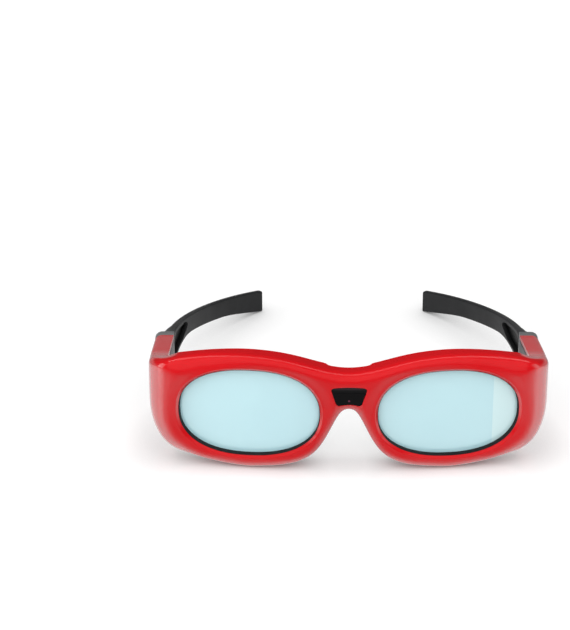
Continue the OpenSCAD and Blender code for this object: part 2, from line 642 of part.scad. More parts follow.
module arm() color([0.2, 0.2, 0.21]) seated() difference() {
    union() {
        blade(arm_len, 0, arm_t, 0, 0);
        blade(step_two, arm_t - step_t / 2, arm_t + step_t, step_in, step_in + step_taper);
        blade(step_one, arm_t, arm_t + 2 * step_t, 2 * step_in, 2 * step_in + step_taper);
    }
    translate([pin_x, pin_y, 0]) linear_extrude(brow_z) difference() {
        translate([-2 * pin_in, -2 * pin_back]) square(2 * [pin_in, pin_back]);
        circle(pin_back - run);
    }
    translate([pin_x, pin_y, tongue_z - slot_h / 2]) {
        cylinder(slot_h, r = slot_r);
        translate([-slot_in, -pin_back - over, 0]) cube([slot_in + slot_r, pin_back + over, slot_h]);
        translate([-slot_in, -over, 0]) cube([slot_in, slot_r + over, slot_h]);
    }
    translate(arm_at(0, 0, tongue_z)) rotate([-recess_fall, 0, arm_heading(recess_len / 2)]) {
        translate([-2 * over, 0, -slot_h / 2]) cube([2 * over + recess_d, recess_len - slot_h / 2, slot_h]);
        translate([-2 * over, recess_len - slot_h / 2, 0]) rotate([0, 90, 0])
            cylinder(2 * over + recess_d, r = slot_h / 2);
    }
    translate([pin_x, pin_y, pin_low - fit]) cylinder(pin_len + 2 * fit, r = pin_r + grip);
    translate(arm_at(arm_len, arm_t / 2, tip_h / 2)) rotate([-90, 0, arm_heading(arm_len)])
        translate([0, 0, -socket_len]) cylinder(socket_len + over, r = socket_r);
}

front_shell();
rear_cover();
sensor_window();
photodiode();
sensor_board();
lc_shutter(1);  // lc_shutter_left
lc_shutter(-1);  // lc_shutter_right
lens_gasket(1);  // lens_gasket_left
lens_gasket(-1);  // lens_gasket_right
shutter_tail(1);  // shutter_tail_left
shutter_tail(-1);  // shutter_tail_right
brow_flex();
main_board();
controller_chip();
boost_coil();
capacitors();
tact_switch();
power_button();
coin_cell();
battery_clip();
battery_leaf();
battery_door();
battery_door_screw();
hinge_collar();  // hinge_collar_left
mirror([1, 0, 0]) hinge_collar();  // hinge_collar_right
hinge_pin();  // hinge_pin_left
mirror([1, 0, 0]) hinge_pin();  // hinge_pin_right
hinge_washers();  // hinge_washers_left
mirror([1, 0, 0]) hinge_washers();  // hinge_washers_right
arm();  // arm_left
mirror([1, 0, 0]) arm();  // arm_right
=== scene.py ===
from math import asin, atan2, cos, exp, hypot, pi, radians, sin, sqrt, tan

import bmesh
import bpy
from mathutils import Matrix, Vector


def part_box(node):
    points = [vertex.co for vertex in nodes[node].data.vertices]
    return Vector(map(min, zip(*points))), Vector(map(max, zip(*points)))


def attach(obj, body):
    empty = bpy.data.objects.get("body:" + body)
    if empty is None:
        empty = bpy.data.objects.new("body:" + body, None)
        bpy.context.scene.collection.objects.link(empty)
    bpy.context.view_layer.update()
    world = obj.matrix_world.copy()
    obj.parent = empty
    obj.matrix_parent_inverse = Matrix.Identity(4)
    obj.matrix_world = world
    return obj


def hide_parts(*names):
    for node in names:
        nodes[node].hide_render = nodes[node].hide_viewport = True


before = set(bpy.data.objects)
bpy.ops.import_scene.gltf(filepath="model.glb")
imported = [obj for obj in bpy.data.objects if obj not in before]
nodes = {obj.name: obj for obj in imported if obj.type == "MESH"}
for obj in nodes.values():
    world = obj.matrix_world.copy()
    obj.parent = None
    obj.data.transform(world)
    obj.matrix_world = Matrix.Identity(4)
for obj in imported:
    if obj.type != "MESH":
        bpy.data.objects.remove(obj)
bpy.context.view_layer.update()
scene = bpy.context.scene
scene.view_settings.view_transform = "Standard"
mm = 0.001  # shapes are worked out in millimetres, the scene is in metres
print("frame loaded:", len(nodes), "nodes")

# camera, at the photograph's viewing angle
viewpoint = {
    "eye": (-0.0200123, -0.9138831, 0.4723863),
    "yaw": -0.0085,
    "pitch": 0.4457,
    "roll": -0.0022,
    "lens": 126.63,
    "sensor": 36.0,
    "clip": 0.01,
}


def placeCamera(view):
    data = bpy.data.cameras.new("photoCamera")
    data.lens = view["lens"]
    data.sensor_width = view["sensor"]
    data.clip_start = view["clip"]
    camera = bpy.data.objects.new("photoCamera", data)
    scene.collection.objects.link(camera)
    yaw, pitch, roll = view["yaw"], view["pitch"], view["roll"]
    ahead = Vector((sin(yaw) * cos(pitch), cos(yaw) * cos(pitch), -sin(pitch)))
    level = Vector((cos(yaw), -sin(yaw), 0.0))
    upright = level.cross(ahead)
    right = level * cos(roll) + upright * sin(roll)
    up = upright * cos(roll) - level * sin(roll)
    turn = Matrix((right, up, -ahead)).transposed().to_4x4()
    camera.matrix_world = Matrix.Translation(view["eye"]) @ turn
    scene.camera = camera


placeCamera(viewpoint)
print("camera placed")


# shader tools: a Wire is a socket that does sums, a Finish is a material being wired
class Wire:
    def __init__(self, pen, socket):
        self.pen = pen
        self.socket = socket

    def sum(self, operation, first, second):
        return self.pen.node("ShaderNodeMath", {"operation": operation}, {0: first, 1: second})

    def __add__(self, other):
        return self.sum("ADD", self, other)

    def __radd__(self, other):
        return self.sum("ADD", other, self)

    def __sub__(self, other):
        return self.sum("SUBTRACT", self, other)

    def __rsub__(self, other):
        return self.sum("SUBTRACT", other, self)

    def __mul__(self, other):
        return self.sum("MULTIPLY", self, other)

    def __rmul__(self, other):
        return self.sum("MULTIPLY", other, self)


class Finish:
    def __init__(self, owner):
        self.tree = owner.node_tree

    def node(self, kind, settings=None, sockets=None, output=0):
        made = self.tree.nodes.new(kind)
        for key, value in (settings or {}).items():
            setattr(made, key, value)
        for key, value in (sockets or {}).items():
            self.plug(made.inputs[key], value)
        return Wire(self, made.outputs[output])

    def plug(self, socket, value):
        if isinstance(value, Wire):
            self.tree.links.new(value.socket, socket)
        else:
            socket.default_value = value

    def place(self):
        return self.node("ShaderNodeTexCoord", output="Object")

    def axis(self, index, spot=None):
        return self.node("ShaderNodeSeparateXYZ", {}, {0: spot or self.place()}, index)

    def noise(self, scale, detail=2.0, rough=0.5, stretch=None):
        spot = self.place()
        if stretch:
            spot = self.node("ShaderNodeMapping", {}, {"Vector": spot, "Scale": stretch})
        return self.node("ShaderNodeTexNoise", {}, {
            "Vector": spot, "Scale": scale, "Detail": detail, "Roughness": rough})

    def band(self, value, low, high, start=0.0, end=1.0):
        return self.node("ShaderNodeMapRange", {"interpolation_type": "SMOOTHSTEP"}, {
            "Value": value, "From Min": low, "From Max": high, "To Min": start, "To Max": end})

    def blend(self, factor, first, second):
        return self.node("ShaderNodeMix", {"data_type": "RGBA"}, {0: factor, 6: first, 7: second}, 2)

    def bump(self, height, distance):
        return self.node("ShaderNodeBump", {}, {"Height": height, "Distance": distance, "Strength": 1.0})


def newFinish(name, look):
    material = bpy.data.materials.new(name)
    material.use_nodes = True
    pen = Finish(material)
    pen.material = material
    pen.shader = material.node_tree.nodes["Principled BSDF"]
    for socket, value in look.get("fixed", {}).items():
        pen.shader.inputs[socket].default_value = value
    return pen


def dress(pen, sockets):
    for socket, value in sockets.items():
        pen.plug(pen.shader.inputs[socket], value)
    return pen.material


def rgb(red, green, blue):
    return (red, green, blue, 1.0)


# in the finishes a noise is (scale, detail, roughness),
# and a band is (from, to), or (from, to, value before, value after)

# gloss-moulded red: slow drift of tone, orange peel, and a clear top skin
redGloss = {
    "fixed": {"Coat Roughness": 0.12, "Coat IOR": 2.3, "Specular IOR Level": 0.13},
    "deep": rgb(0.600, 0.0035, 0.0070),
    "clear": rgb(0.650, 0.0055, 0.0095),
    "drift": (15.0, 3.0),
    "driftBand": (0.3, 0.7),
    "peel": (330.0, 2.0, 0.45),
    "peelDepth": 0.000010,
    "haze": (46.0, 4.0, 0.6),
    "hazeBand": (0.35, 0.75),
    "fine": (5200.0, 2.0),
    "roughness": 0.20,
    "hazeRough": 0.05,
    "fineRough": 0.03,
    "hazeDull": 0.1,
    "grazing": (0.04, 0.48),
    "handled": (0.064, 0.077, 0.55, 1.0),
    "stubs": (-0.062, -0.050, 1.0, 0.15),
    "underside": (0.004, 0.011, 1.7, 1.0),
}


def makeRed(look):
    pen = newFinish("redGloss", look)
    facing = pen.node("ShaderNodeLayerWeight", {}, {"Blend": 0.5}, 1)
    # the outer corners and undersides are polished most, the stubs least
    across = pen.node("ShaderNodeMath", {"operation": "ABSOLUTE"}, {0: pen.axis(0)})
    polish = pen.band(across, *look["handled"]) * pen.band(pen.axis(1), *look["stubs"])
    polish = polish * pen.band(pen.axis(2), *look["underside"])
    drift = pen.band(pen.noise(*look["drift"]), *look["driftBand"])
    haze = pen.band(pen.noise(*look["haze"]), *look["hazeBand"])
    fine = pen.noise(*look["fine"])
    return dress(pen, {
        "Base Color": pen.blend(drift, look["deep"], look["clear"]),
        "Roughness": look["roughness"] + haze * look["hazeRough"] + fine * look["fineRough"],
        "Coat Weight": pen.band(facing, *look["grazing"]) * (polish - haze * look["hazeDull"]),
        "Normal": pen.bump(pen.noise(*look["peel"]), look["peelDepth"]),
    })


# moulded finishes: a spark-eroded grain of its own scale, with slow patches worn by handling
wear = {
    "patch": (38.0, 4.0, 0.6),
    "patchBand": (0.32, 0.7),
    "patchTone": 0.6,
    "grainTone": 0.4,
    "grainDetail": (3.0, 0.65),
    "grainRough": 0.12,
    "patchSmooth": 0.06,
}
moulded = {
    "blackSatin": {
        "deep": rgb(0.016, 0.0165, 0.018), "worn": rgb(0.030, 0.031, 0.033),
        "grain": 2600.0, "depth": 0.00004, "roughness": 0.36,
    },
    "softTouch": {
        "deep": rgb(0.014, 0.0142, 0.015), "worn": rgb(0.026, 0.0265, 0.028),
        "grain": 3400.0, "depth": 0.000035, "roughness": 0.40,
        # painted shade: a near-black colour for the shade inside the arm's inner recess
        "recessShade": rgb(0.003, 0.003, 0.0032), "fixed": {"Specular IOR Level": 0.28},
    },
    "collarGrey": {
        "deep": rgb(0.135, 0.137, 0.14), "worn": rgb(0.175, 0.178, 0.18),
        "grain": 3000.0, "depth": 0.00002, "roughness": 0.28,
    },
    "gasketRubber": {
        "deep": rgb(0.007, 0.007, 0.008), "worn": rgb(0.015, 0.015, 0.016),
        "grain": 1800.0, "depth": 0.00003, "roughness": 0.55,
        "fixed": {"Specular IOR Level": 0.15},
    },
    "buttonBlack": {
        "deep": rgb(0.02, 0.02, 0.021), "worn": rgb(0.045, 0.045, 0.047),
        "grain": 2800.0, "depth": 0.00003, "roughness": 0.38,
    },
    "chipBlack": {
        "deep": rgb(0.010, 0.010, 0.011), "worn": rgb(0.024, 0.024, 0.025),
        "grain": 4200.0, "depth": 0.00002, "roughness": 0.5,
    },
    "ferrite": {
        "deep": rgb(0.035, 0.034, 0.034), "worn": rgb(0.07, 0.068, 0.066),
        "grain": 2200.0, "depth": 0.00003, "roughness": 0.6,
    },
    "ceramicTan": {
        "deep": rgb(0.36, 0.25, 0.15), "worn": rgb(0.46, 0.33, 0.21),
        "grain": 3600.0, "depth": 0.00001, "roughness": 0.4,
    },
    "washerWhite": {
        "deep": rgb(0.62, 0.62, 0.60), "worn": rgb(0.72, 0.72, 0.70),
        "grain": 2600.0, "depth": 0.00001, "roughness": 0.35,
    },
    "filmAmber": {
        "deep": rgb(0.34, 0.12, 0.015), "worn": rgb(0.46, 0.19, 0.03),
        "grain": 900.0, "depth": 0.00001, "roughness": 0.25,
        "fixed": {"Coat Weight": 0.3},
    },
}


def makeMoulded(name, look):
    pen = newFinish(name, look)
    patch = pen.band(pen.noise(*wear["patch"]), *wear["patchBand"])
    grain = pen.noise(look["grain"], *wear["grainDetail"])
    tone = pen.blend(patch * wear["patchTone"] + grain * wear["grainTone"], look["deep"], look["worn"])
    # painted shade: points marked in the arm's inner recess are darkened to near-black
    if "recessShade" in look:
        inside = pen.node("ShaderNodeAttribute", {"attribute_name": "recessShade"}, output="Fac")
        tone = pen.blend(inside, tone, look["recessShade"])
    return dress(pen, {
        "Base Color": tone,
        "Roughness": look["roughness"] + grain * wear["grainRough"] - patch * wear["patchSmooth"],
        "Normal": pen.bump(grain, look["depth"]),
    })


# shutter glass: pale cyan film between clear plates, in faint clouds, with a painted reflection as a paler
# strip at the outer end of the wearer's left lens
shutterGlass = {
    "fixed": {"Coat Roughness": 0.01, "Specular IOR Level": 0.5},
    "deep": rgb(0.560, 0.866, 0.930),
    "clear": rgb(0.575, 0.878, 0.938),
    # painted reflection: the paler tint of the strip, and where across the lens it starts
    "paintedReflection": rgb(0.700, 0.950, 0.972),
    "paintedReflectionEdge": (0.0617, 0.0620),
    "cloud": (22.0, 3.0),
    "cloudBand": (0.3, 0.7),
    "speck": (2600.0, 1.0),
    "speckBand": (0.66, 0.72),
    "roughness": 0.04,
    "speckRough": 0.12,
    "speckDull": 0.3,
    "alpha": 0.92,
    "cloudAlpha": 0.03,
}


def makeGlass(look):
    pen = newFinish("shutterGlass", look)
    cloud = pen.band(pen.noise(*look["cloud"]), *look["cloudBand"])
    speck = pen.band(pen.noise(*look["speck"]), *look["speckBand"])
    # painted reflection: a paler strip across the outer end of the wearer's left lens
    lap = pen.band(pen.axis(0), *look["paintedReflectionEdge"])
    return dress(pen, {
        "Base Color": pen.blend(lap, pen.blend(cloud, look["deep"], look["clear"]), look["paintedReflection"]),
        "Roughness": look["roughness"] + speck * look["speckRough"],
        "Coat Weight": 1.0 - speck * look["speckDull"],
        "Alpha": look["alpha"] + cloud * look["cloudAlpha"],
    })


# sync window: near-black gloss with a painted highlight as a paler band along its top, and the receiver as
# a faint pink point
windowBlack = {
    "fixed": {"Specular IOR Level": 0.05},
    "body": rgb(0.0035, 0.0035, 0.004),
    # painted highlight: a paler band along the window's top edge, where its bevel catches the light
    "rim": rgb(0.022, 0.017, 0.020),
    "rimFrom": (0.0393, 0.0399),
    "glint": rgb(0.16, 0.035, 0.075),
    "spot": (0.0, -0.0822, 0.0346),
    "spotBand": (0.00024, 0.0006, 1.0, 0.0),
    "swirl": (700.0, 2.0),
    "roughness": 0.05,
    "swirlRough": 0.04,
}


def makeWindow(look):
    pen = newFinish("windowBlack", look)
    # painted highlight: the top band of the window is blended to the paler colour
    body = pen.blend(pen.band(pen.axis(2), *look["rimFrom"]), look["body"], look["rim"])
    away = pen.node("ShaderNodeVectorMath", {"operation": "DISTANCE"}, {0: pen.place(), 1: look["spot"]}, 1)
    return dress(pen, {
        "Base Color": pen.blend(pen.band(away, *look["spotBand"]), body, look["glint"]),
        "Roughness": look["roughness"] + pen.noise(*look["swirl"]) * look["swirlRough"],
    })


# metals: brushed along one axis, with darker tarnish in slow patches
brushing = {
    "brush": (900.0, 2.0, 0.6),
    "brushDepth": 0.00001,
    "brushRough": 0.14,
    "tarnish": (140.0, 3.0),
    "tarnishBand": (0.35, 0.75),
    "tarnishRough": 0.06,
}
metals = {
    "brushedSteel": {
        "bright": rgb(0.62, 0.62, 0.63), "dull": rgb(0.45, 0.45, 0.46),
        "stretch": (1.0, 1.0, 0.08), "roughness": 0.2, "fixed": {"Metallic": 1.0},
    },
    "springBrass": {
        "bright": rgb(0.72, 0.52, 0.24), "dull": rgb(0.55, 0.38, 0.16),
        "stretch": (1.0, 0.08, 1.0), "roughness": 0.22, "fixed": {"Metallic": 1.0},
    },
}


def makeMetal(name, look):
    pen = newFinish(name, look)
    brush = pen.noise(*brushing["brush"], look["stretch"])
    tarnish = pen.band(pen.noise(*brushing["tarnish"]), *brushing["tarnishBand"])
    rough = look["roughness"] + brush * brushing["brushRough"] + tarnish * brushing["tarnishRough"]
    return dress(pen, {
        "Base Color": pen.blend(tarnish, look["bright"], look["dull"]),
        "Roughness": rough,
        "Normal": pen.bump(brush, brushing["brushDepth"]),
    })


# circuit board: green mask over faint copper runs
boardGreen = {
    "fixed": {"Coat Weight": 0.4},
    "mask": rgb(0.012, 0.085, 0.030),
    "run": rgb(0.025, 0.150, 0.060),
    "pitch": 700.0,
    "runWidth": 0.03,
    "stagger": 0.5,
    "grain": (3000.0, 2.0),
    "roughness": 0.3,
    "grainRough": 0.15,
}


def makeBoard(look):
    pen = newFinish("boardGreen", look)
    weave = pen.node("ShaderNodeTexBrick", {"offset": look["stagger"]}, {
        "Vector": pen.place(), "Scale": look["pitch"], "Mortar Size": look["runWidth"],
        "Color1": look["mask"], "Color2": look["mask"], "Mortar": look["run"]})
    return dress(pen, {
        "Base Color": weave,
        "Roughness": look["roughness"] + pen.noise(*look["grain"]) * look["grainRough"],
    })


finishes = {
    "redGloss": makeRed(redGloss),
    "shutterGlass": makeGlass(shutterGlass),
    "windowBlack": makeWindow(windowBlack),
    "boardGreen": makeBoard(boardGreen),
}
for finishName, finishLook in moulded.items():
    finishes[finishName] = makeMoulded(finishName, finishLook)
for finishName, finishLook in metals.items():
    finishes[finishName] = makeMetal(finishName, finishLook)
print("finishes:", len(finishes))


# small sums that the shapes share
tiny = 1e-9


def mix(a, b, t):
    return a + (b - a) * t


def clamp(t):
    return min(1.0, max(0.0, t))


def ease(t):
    t = clamp(t)
    return t * t * (3.0 - 2.0 * t)


def soft(d, width):
    # starts level and runs on straight
    return 0.0 if d <= 0 else sqrt(d * d + width * width) - width


def power(value, exponent):
    return (1 if value >= 0 else -1) * abs(value) ** exponent


def rounded(size, u):
    # how far a rolled edge falls away, with u from 0 where it starts to 1 where it ends
    return size * (1.0 - sqrt(max(0.0, 1.0 - u * u)))


def spread(start, end, count, bias=1.0):
    return [mix(start, end, (i / count) ** bias) for i in range(count + 1)]


def stations(marks, counts):
    # even steps from each mark to the next
    run = [marks[0]]
    for start, end, count in zip(marks, marks[1:], counts):
        run += spread(start, end, count)[1:]
    return run


def brokenEdge(edge):
    # a small round over an edge, as (along, inset)
    halfway = edge * 0.3  # about where a quarter round is at 45 degrees
    return [(0.0, edge), (halfway, halfway), (edge, 0.0)]


# meshes are gathered as patches of points in millimetres, with equal points joined
class Skin:
    def __init__(self):
        self.points = []
        self.known = {}
        self.faces = []
        # points that take painted shade, deep in an arm's recess
        self.recessShade = {}

    def corner(self, point):
        key = (round(point[0], 3), round(point[1], 3), round(point[2], 3))
        if key not in self.known:
            self.known[key] = len(self.points)
            self.points.append(point)
        return self.known[key]

    def face(self, loop):
        ring = []
        for point in loop:
            index = self.corner(point)
            if index not in ring:
                ring.append(index)
        if len(ring) > 2:
            self.faces.append(ring)

    def patch(self, rows, closed=False):
        for below, above in zip(rows, rows[1:]):
            count = len(below)
            for i in range(count if closed else count - 1):
                j = (i + 1) % count
                self.face((below[i], below[j], above[j], above[i]))

    def fan(self, ring, middle):
        for i, point in enumerate(ring):
            self.face((point, ring[(i + 1) % len(ring)], middle))


def newObject(name, skin):
    mesh = bpy.data.meshes.new(name)
    mesh.from_pydata([Vector(p) * mm for p in skin.points], [], skin.faces)
    work = bmesh.new()
    work.from_mesh(mesh)
    bmesh.ops.recalc_face_normals(work, faces=work.faces)
    work.to_mesh(mesh)
    work.free()
    made = bpy.data.objects.new(name, mesh)
    scene.collection.objects.link(made)
    return made


def settle(piece):
    # takes the piece's modifiers into its mesh
    shaped = piece.evaluated_get(bpy.context.evaluated_depsgraph_get())
    plain = piece.data
    made = bpy.data.meshes.new_from_object(shaped)
    piece.modifiers.clear()
    piece.data = made
    bpy.data.meshes.remove(plain)
    made.name = piece.name


def makePiece(name, skin, finish, body, replaced, crease=35.0, reshape=None):
    piece = newObject(name, skin)
    if reshape:
        reshape(piece)
    mesh = piece.data
    # painted shade: the marked points carry the near-black recess colour
    if skin.recessShade:
        inside = mesh.attributes.new("recessShade", "FLOAT", "POINT")
        for index, share in skin.recessShade.items():
            inside.data[index].value = share
    mesh.polygons.foreach_set("use_smooth", [True] * len(mesh.polygons))
    mesh.set_sharp_from_angle(angle=radians(crease))
    mesh.materials.clear()
    mesh.materials.append(finishes[finish])
    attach(piece, body)
    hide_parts(*replaced)


# the unrolled face: s runs along it from the nose, n is depth behind it, z is height
face = {
    "halfW": 86.0, "baseR": 480.0, "cornerR": 14.0, "stubY": 60.0,
    "browZ": 53.98, "bridgeZ": 46.6, "bridgeDip": 23.0, "archZ": 29.0,
    "stubTop": 36.4, "stubLow": 20.2, "archR": 10.103, "archPower": 2.5,
    "browS": 40.0, "rimS": 42.2, "topSoft": 40.0, "lowSoft": 14.0,
    "middleY": 82.2798, "slopeStep": 0.05,
}
cornerAngle = asin((face["halfW"] - face["cornerR"]) / (face["baseR"] - face["cornerR"]))
cornerY = face["baseR"] - (face["baseR"] - face["cornerR"]) * cos(cornerAngle)
cornerS = face["baseR"] * cornerAngle
stubS = cornerS + face["cornerR"] * (pi / 2 - cornerAngle)
endS = stubS + face["stubY"] - cornerY


def bell(s):
    return 1.0 / (1.0 + (s / face["archR"]) ** face["archPower"])


def topZ(s):
    dip = (face["browZ"] - face["bridgeZ"]) * exp(-(s / face["bridgeDip"]) ** 2)
    fall = soft(s - face["browS"], face["topSoft"]) / soft(endS - face["browS"], face["topSoft"])
    return face["browZ"] - dip - (face["browZ"] - face["stubTop"]) * fall


def lowZ(s):
    rise = soft(s - face["rimS"], face["lowSoft"]) / soft(endS - face["rimS"], face["lowSoft"])
    arch = 0.0
    if s < face["rimS"]:
        arch = face["archZ"] * (bell(s) - bell(face["rimS"])) / (1.0 - bell(face["rimS"]))
    return arch + face["stubLow"] * rise


def lowLean(s):
    # how much longer a step along the lower edge is where it climbs
    step = face["slopeStep"]
    slope = (lowZ(s + step) - lowZ(max(0.0, s - step))) / (step + min(s, step))
    return sqrt(1.0 + slope * slope)


def turnShare(s):
    start = cornerS - face["cornerR"]
    return ease((s - start) / (stubS - start))


def faceAt(s, n, z):
    side = 1 if s >= 0 else -1
    a = abs(s)
    if a < cornerS:
        heading = a / face["baseR"]
        x = face["baseR"] * sin(heading)
        y = face["baseR"] * (1.0 - cos(heading))
    elif a < stubS:
        heading = cornerAngle + (a - cornerS) / face["cornerR"]
        x = face["halfW"] - face["cornerR"] * (1.0 - sin(heading))
        y = cornerY - face["cornerR"] * cos(heading)
    else:
        heading = pi / 2
        x = face["halfW"]
        y = cornerY + a - stubS
    return (side * (x - n * sin(heading)), y + n * cos(heading) - face["middleY"], z)


def mirrored(points, side):
    return [faceAt(side * s, n, z) for s, n, z in points]


# a section up the face has a rolled foot and a rolled brow
def rolledHeights(low, tall, top, roll, look):
    quarter = spread(0.0, pi / 2, look["rollRows"])
    heights = [low + tall * (1.0 - cos(q)) for q in quarter]
    heights += spread(low + tall, top - roll, look["faceRows"])[1:-1]
    heights += [top - roll + roll * sin(q) for q in quarter]
    return heights


def rolledDepth(z, low, top, foot, brow):
    # foot and brow are each (depth, height) of a roll
    if z > top - brow[1]:
        return rounded(brow[0], (z - top + brow[1]) / brow[1])
    if z < low + foot[1]:
        return rounded(foot[0], (low + foot[1] - z) / foot[1])
    return 0.0


# lens outline, a superellipse that every lens piece shares
lens = {"s": 42.9, "z": 26.8, "a": 30.6, "b": 20.5, "power": 2.3}


def lensAlong(s, z, grow):
    # where the way from the lens's middle to a point meets the outline
    ds, dz = s - lens["s"], z - lens["z"]
    across = abs(ds) / (lens["a"] + grow)
    upright = abs(dz) / (lens["b"] + grow)
    reach = (across ** lens["power"] + upright ** lens["power"]) ** (-1.0 / lens["power"])
    return lens["s"] + ds * reach, lens["z"] + dz * reach


def lensRing(count, grow):
    ring = []
    for k in range(count):
        q = 2.0 * pi * k / count
        ds = (lens["a"] + grow) * power(cos(q), 2.0 / lens["power"])
        dz = (lens["b"] + grow) * power(sin(q), 2.0 / lens["power"])
        ring.append((lens["s"] + ds, lens["z"] + dz))
    return ring


def blockLoop(columns, first, last, low, high):
    # walks round a block of the lattice: columns hold (s, n, z) rows, upwards or downwards
    step = 1 if high > low else -1
    loop = [columns[i][low] for i in range(first, last)]
    loop += [columns[last][j] for j in range(low, high, step)]
    loop += [columns[i][high] for i in range(last, first, -1)]
    loop += [columns[first][j] for j in range(high, low, -step)]
    return loop


def openLattice(skin, columns, side, blocks):
    # quads of a lattice, leaving out blocks of (first, last, low, high)
    placed = [mirrored(column, side) for column in columns]
    for i in range(len(columns) - 1):
        for j in range(len(columns[0]) - 1):
            inside = any(a <= i < b and low <= j < high for a, b, low, high in blocks)
            if not inside:
                skin.face((placed[i][j], placed[i + 1][j], placed[i + 1][j + 1], placed[i][j + 1]))


def closingRings(loop, hole, count, bend, depthAt):
    # rings from a loop of the lattice in to the edge of a hole
    rings = []
    for share in spread(1.0, 0.0, count):
        ring = []
        for (s, n, z), (holeS, holeZ) in zip(loop, hole):
            atS, atZ = mix(holeS, s, share ** bend), mix(holeZ, z, share ** bend)
            ring.append((atS, depthAt(abs(atS), atZ), atZ))
        rings.append(ring)
    return rings


# sync window outline: a rounded trapezoid with a hollow bottom edge
windowShape = {
    "topHalf": 7.9, "lowHalf": 5.2, "low": 32.2, "high": 40.5, "corner": 1.5,
    "hollow": 0.6, "crown": 0.3, "middle": 36.5, "bevelFrom": 38.2, "bevelLean": 20.0, "thick": 2.4,
    "edge": ((0.0, 0.22), (-0.05, 0.07), (-0.2, 0.0)),
    "faceShares": (0.94, 0.85, 0.76, 0.67, 0.58, 0.49, 0.4, 0.31, 0.22, 0.1),
    "counts": (28, 18, 36, 18), "arcSteps": 12, "sideSteps": 16, "crease": 24.0,
}


def windowSides(shape):
    # four sides, each from the middle of one rounded corner to the middle of the next
    corners = [(-shape["lowHalf"], shape["low"]), (shape["lowHalf"], shape["low"]),
               (shape["topHalf"], shape["high"]), (-shape["topHalf"], shape["high"])]
    bows = (shape["hollow"], 0.0, shape["crown"], 0.0)
    arcs = []
    for i, tip in enumerate(corners):
        here = Vector(tip)
        back = (Vector(corners[i - 1]) - here).normalized()
        on = (Vector(corners[(i + 1) % 4]) - here).normalized()
        reach = shape["corner"] / tan(back.angle(on) / 2)
        first, last = here + back * reach, here + on * reach
        arcs.append([first * (1 - k) ** 2 + here * (2 * k * (1 - k)) + last * k * k
                     for k in spread(0.0, 1.0, shape["arcSteps"])])
    half = shape["arcSteps"] // 2
    sides = []
    for i, bow in enumerate(bows):
        first, last = arcs[i][half:], arcs[(i + 1) % 4][:half + 1]
        side = list(first)
        for k in spread(0.0, 1.0, shape["sideSteps"])[1:-1]:
            point = first[-1].lerp(last[0], k)
            point.y += bow * 4.0 * k * (1 - k)
            side.append(point)
        sides.append(side + list(last))
    return sides


def windowLoop(counts, grow):
    # the outline as one loop with a given count on each side, moved out by grow
    loop = []
    for side, count in zip(windowSides(windowShape), counts):
        runs = [0.0]
        for a, b in zip(side, side[1:]):
            runs.append(runs[-1] + (b - a).length)
        for want in spread(0.0, runs[-1], count)[:-1]:
            i = max(k for k in range(len(runs) - 1) if runs[k] <= want + tiny)
            loop.append(side[i].lerp(side[i + 1], (want - runs[i]) / (runs[i + 1] - runs[i])))
    moved = []
    for i, point in enumerate(loop):
        along = loop[(i + 1) % len(loop)] - loop[i - 1]
        out = Vector((along.y, -along.x)).normalized()
        moved.append(tuple(point + out * grow))
    return moved


# front shell: one lattice of rolled sections, opened for the lenses and the window
shell = {
    "depth": 9.5, "bridgeDepth": 8.0, "stubDepth": 8.5, "bridgeHalf": 8.5, "bridgeStep": 2.0,
    "browRollN": (4.4, 3.2), "browRollZ": (4.2, 3.2), "rollGap": 0.4,
    "cornerAt": 64.0, "cornerWidth": 14.0, "cornerDeeper": 1.8, "cornerTaller": 5.3,
    "rimRoll": 4.6, "stubRollN": 6.4, "stubRollZ": 16.0,
    "leanMost": 2.2, "crown": 0.3, "crownHeight": 50.0, "wall": 1.8, "noseWall": 0.7,
    "dish": 0.7, "dishWidth": 5.5, "lipDepth": 1.9,
    "noseEdge": 9.0, "templeEdge": 78.5, "lensBevel": 1.2, "crease": 32.0,
    # columns to the nose edge, temple edge, stub and end, and rows up a section
    "counts": (9, 60, 14, 22), "edgeRows": 3, "rollRows": 8, "faceRows": 15,
    "openFrom": 5, "openTo": 2, "lensRings": 9, "lensBend": 1.5, "windowRings": 6, "windowBend": 1.3,
    # bevel of the lens openings as (grow, share of the depth), lip of the window's as (grow, depth)
    "bevel": ((1.08, 0.03), (0.92, 0.12), (0.7, 0.32), (0.35, 0.64), (0.12, 0.82), (0.02, 0.91),
              (0.0, 0.96), (0.0, 1.0)),
    "windowLip": ((0.36, 0.0), (0.24, 0.03), (0.15, 0.11), (0.1, 0.26), (0.1, 1.2), (0.1, 2.0)),
}
stubSpan = topZ(stubS) - lowZ(stubS)


def browRoll(s):
    bend = turnShare(s)
    fuller = exp(-((s - shell["cornerAt"]) / shell["cornerWidth"]) ** 2)
    deep = mix(*shell["browRollN"], bend) + shell["cornerDeeper"] * fuller
    return deep, mix(*shell["browRollZ"], bend) + shell["cornerTaller"] * fuller


def lowRoll(s):
    span = topZ(s) - lowZ(s)
    bend = turnShare(s)
    lean = min(shell["leanMost"], lowLean(s))
    deep = mix(shell["rimRoll"], shell["stubRollN"], bend)
    tall = mix(shell["rimRoll"], shell["stubRollZ"] * span / stubSpan, bend) * lean
    return deep, min(tall, span - browRoll(s)[1] - shell["rollGap"])


def shellBack(s):
    step = ease((s - shell["bridgeHalf"]) / shell["bridgeStep"])
    return mix(mix(shell["bridgeDepth"], shell["depth"], step), shell["stubDepth"], turnShare(s))


def shellDepth(s, z):
    top, low = topZ(s), lowZ(s)
    half = (top - low) / 2
    across = (z - low - half) / half
    crown = shell["crown"] * (2 * half / shell["crownHeight"]) ** 2 * across ** 2
    # a shallow dish round each lens
    edgeS, edgeZ = lensAlong(s, z, shell["lensBevel"])
    past = hypot(s - lens["s"], z - lens["z"]) - hypot(edgeS - lens["s"], edgeZ - lens["z"])
    dish = shell["dish"] * (1.0 - ease(past / shell["dishWidth"]))
    return rolledDepth(z, low, top, lowRoll(s), browRoll(s)) + dish + crown


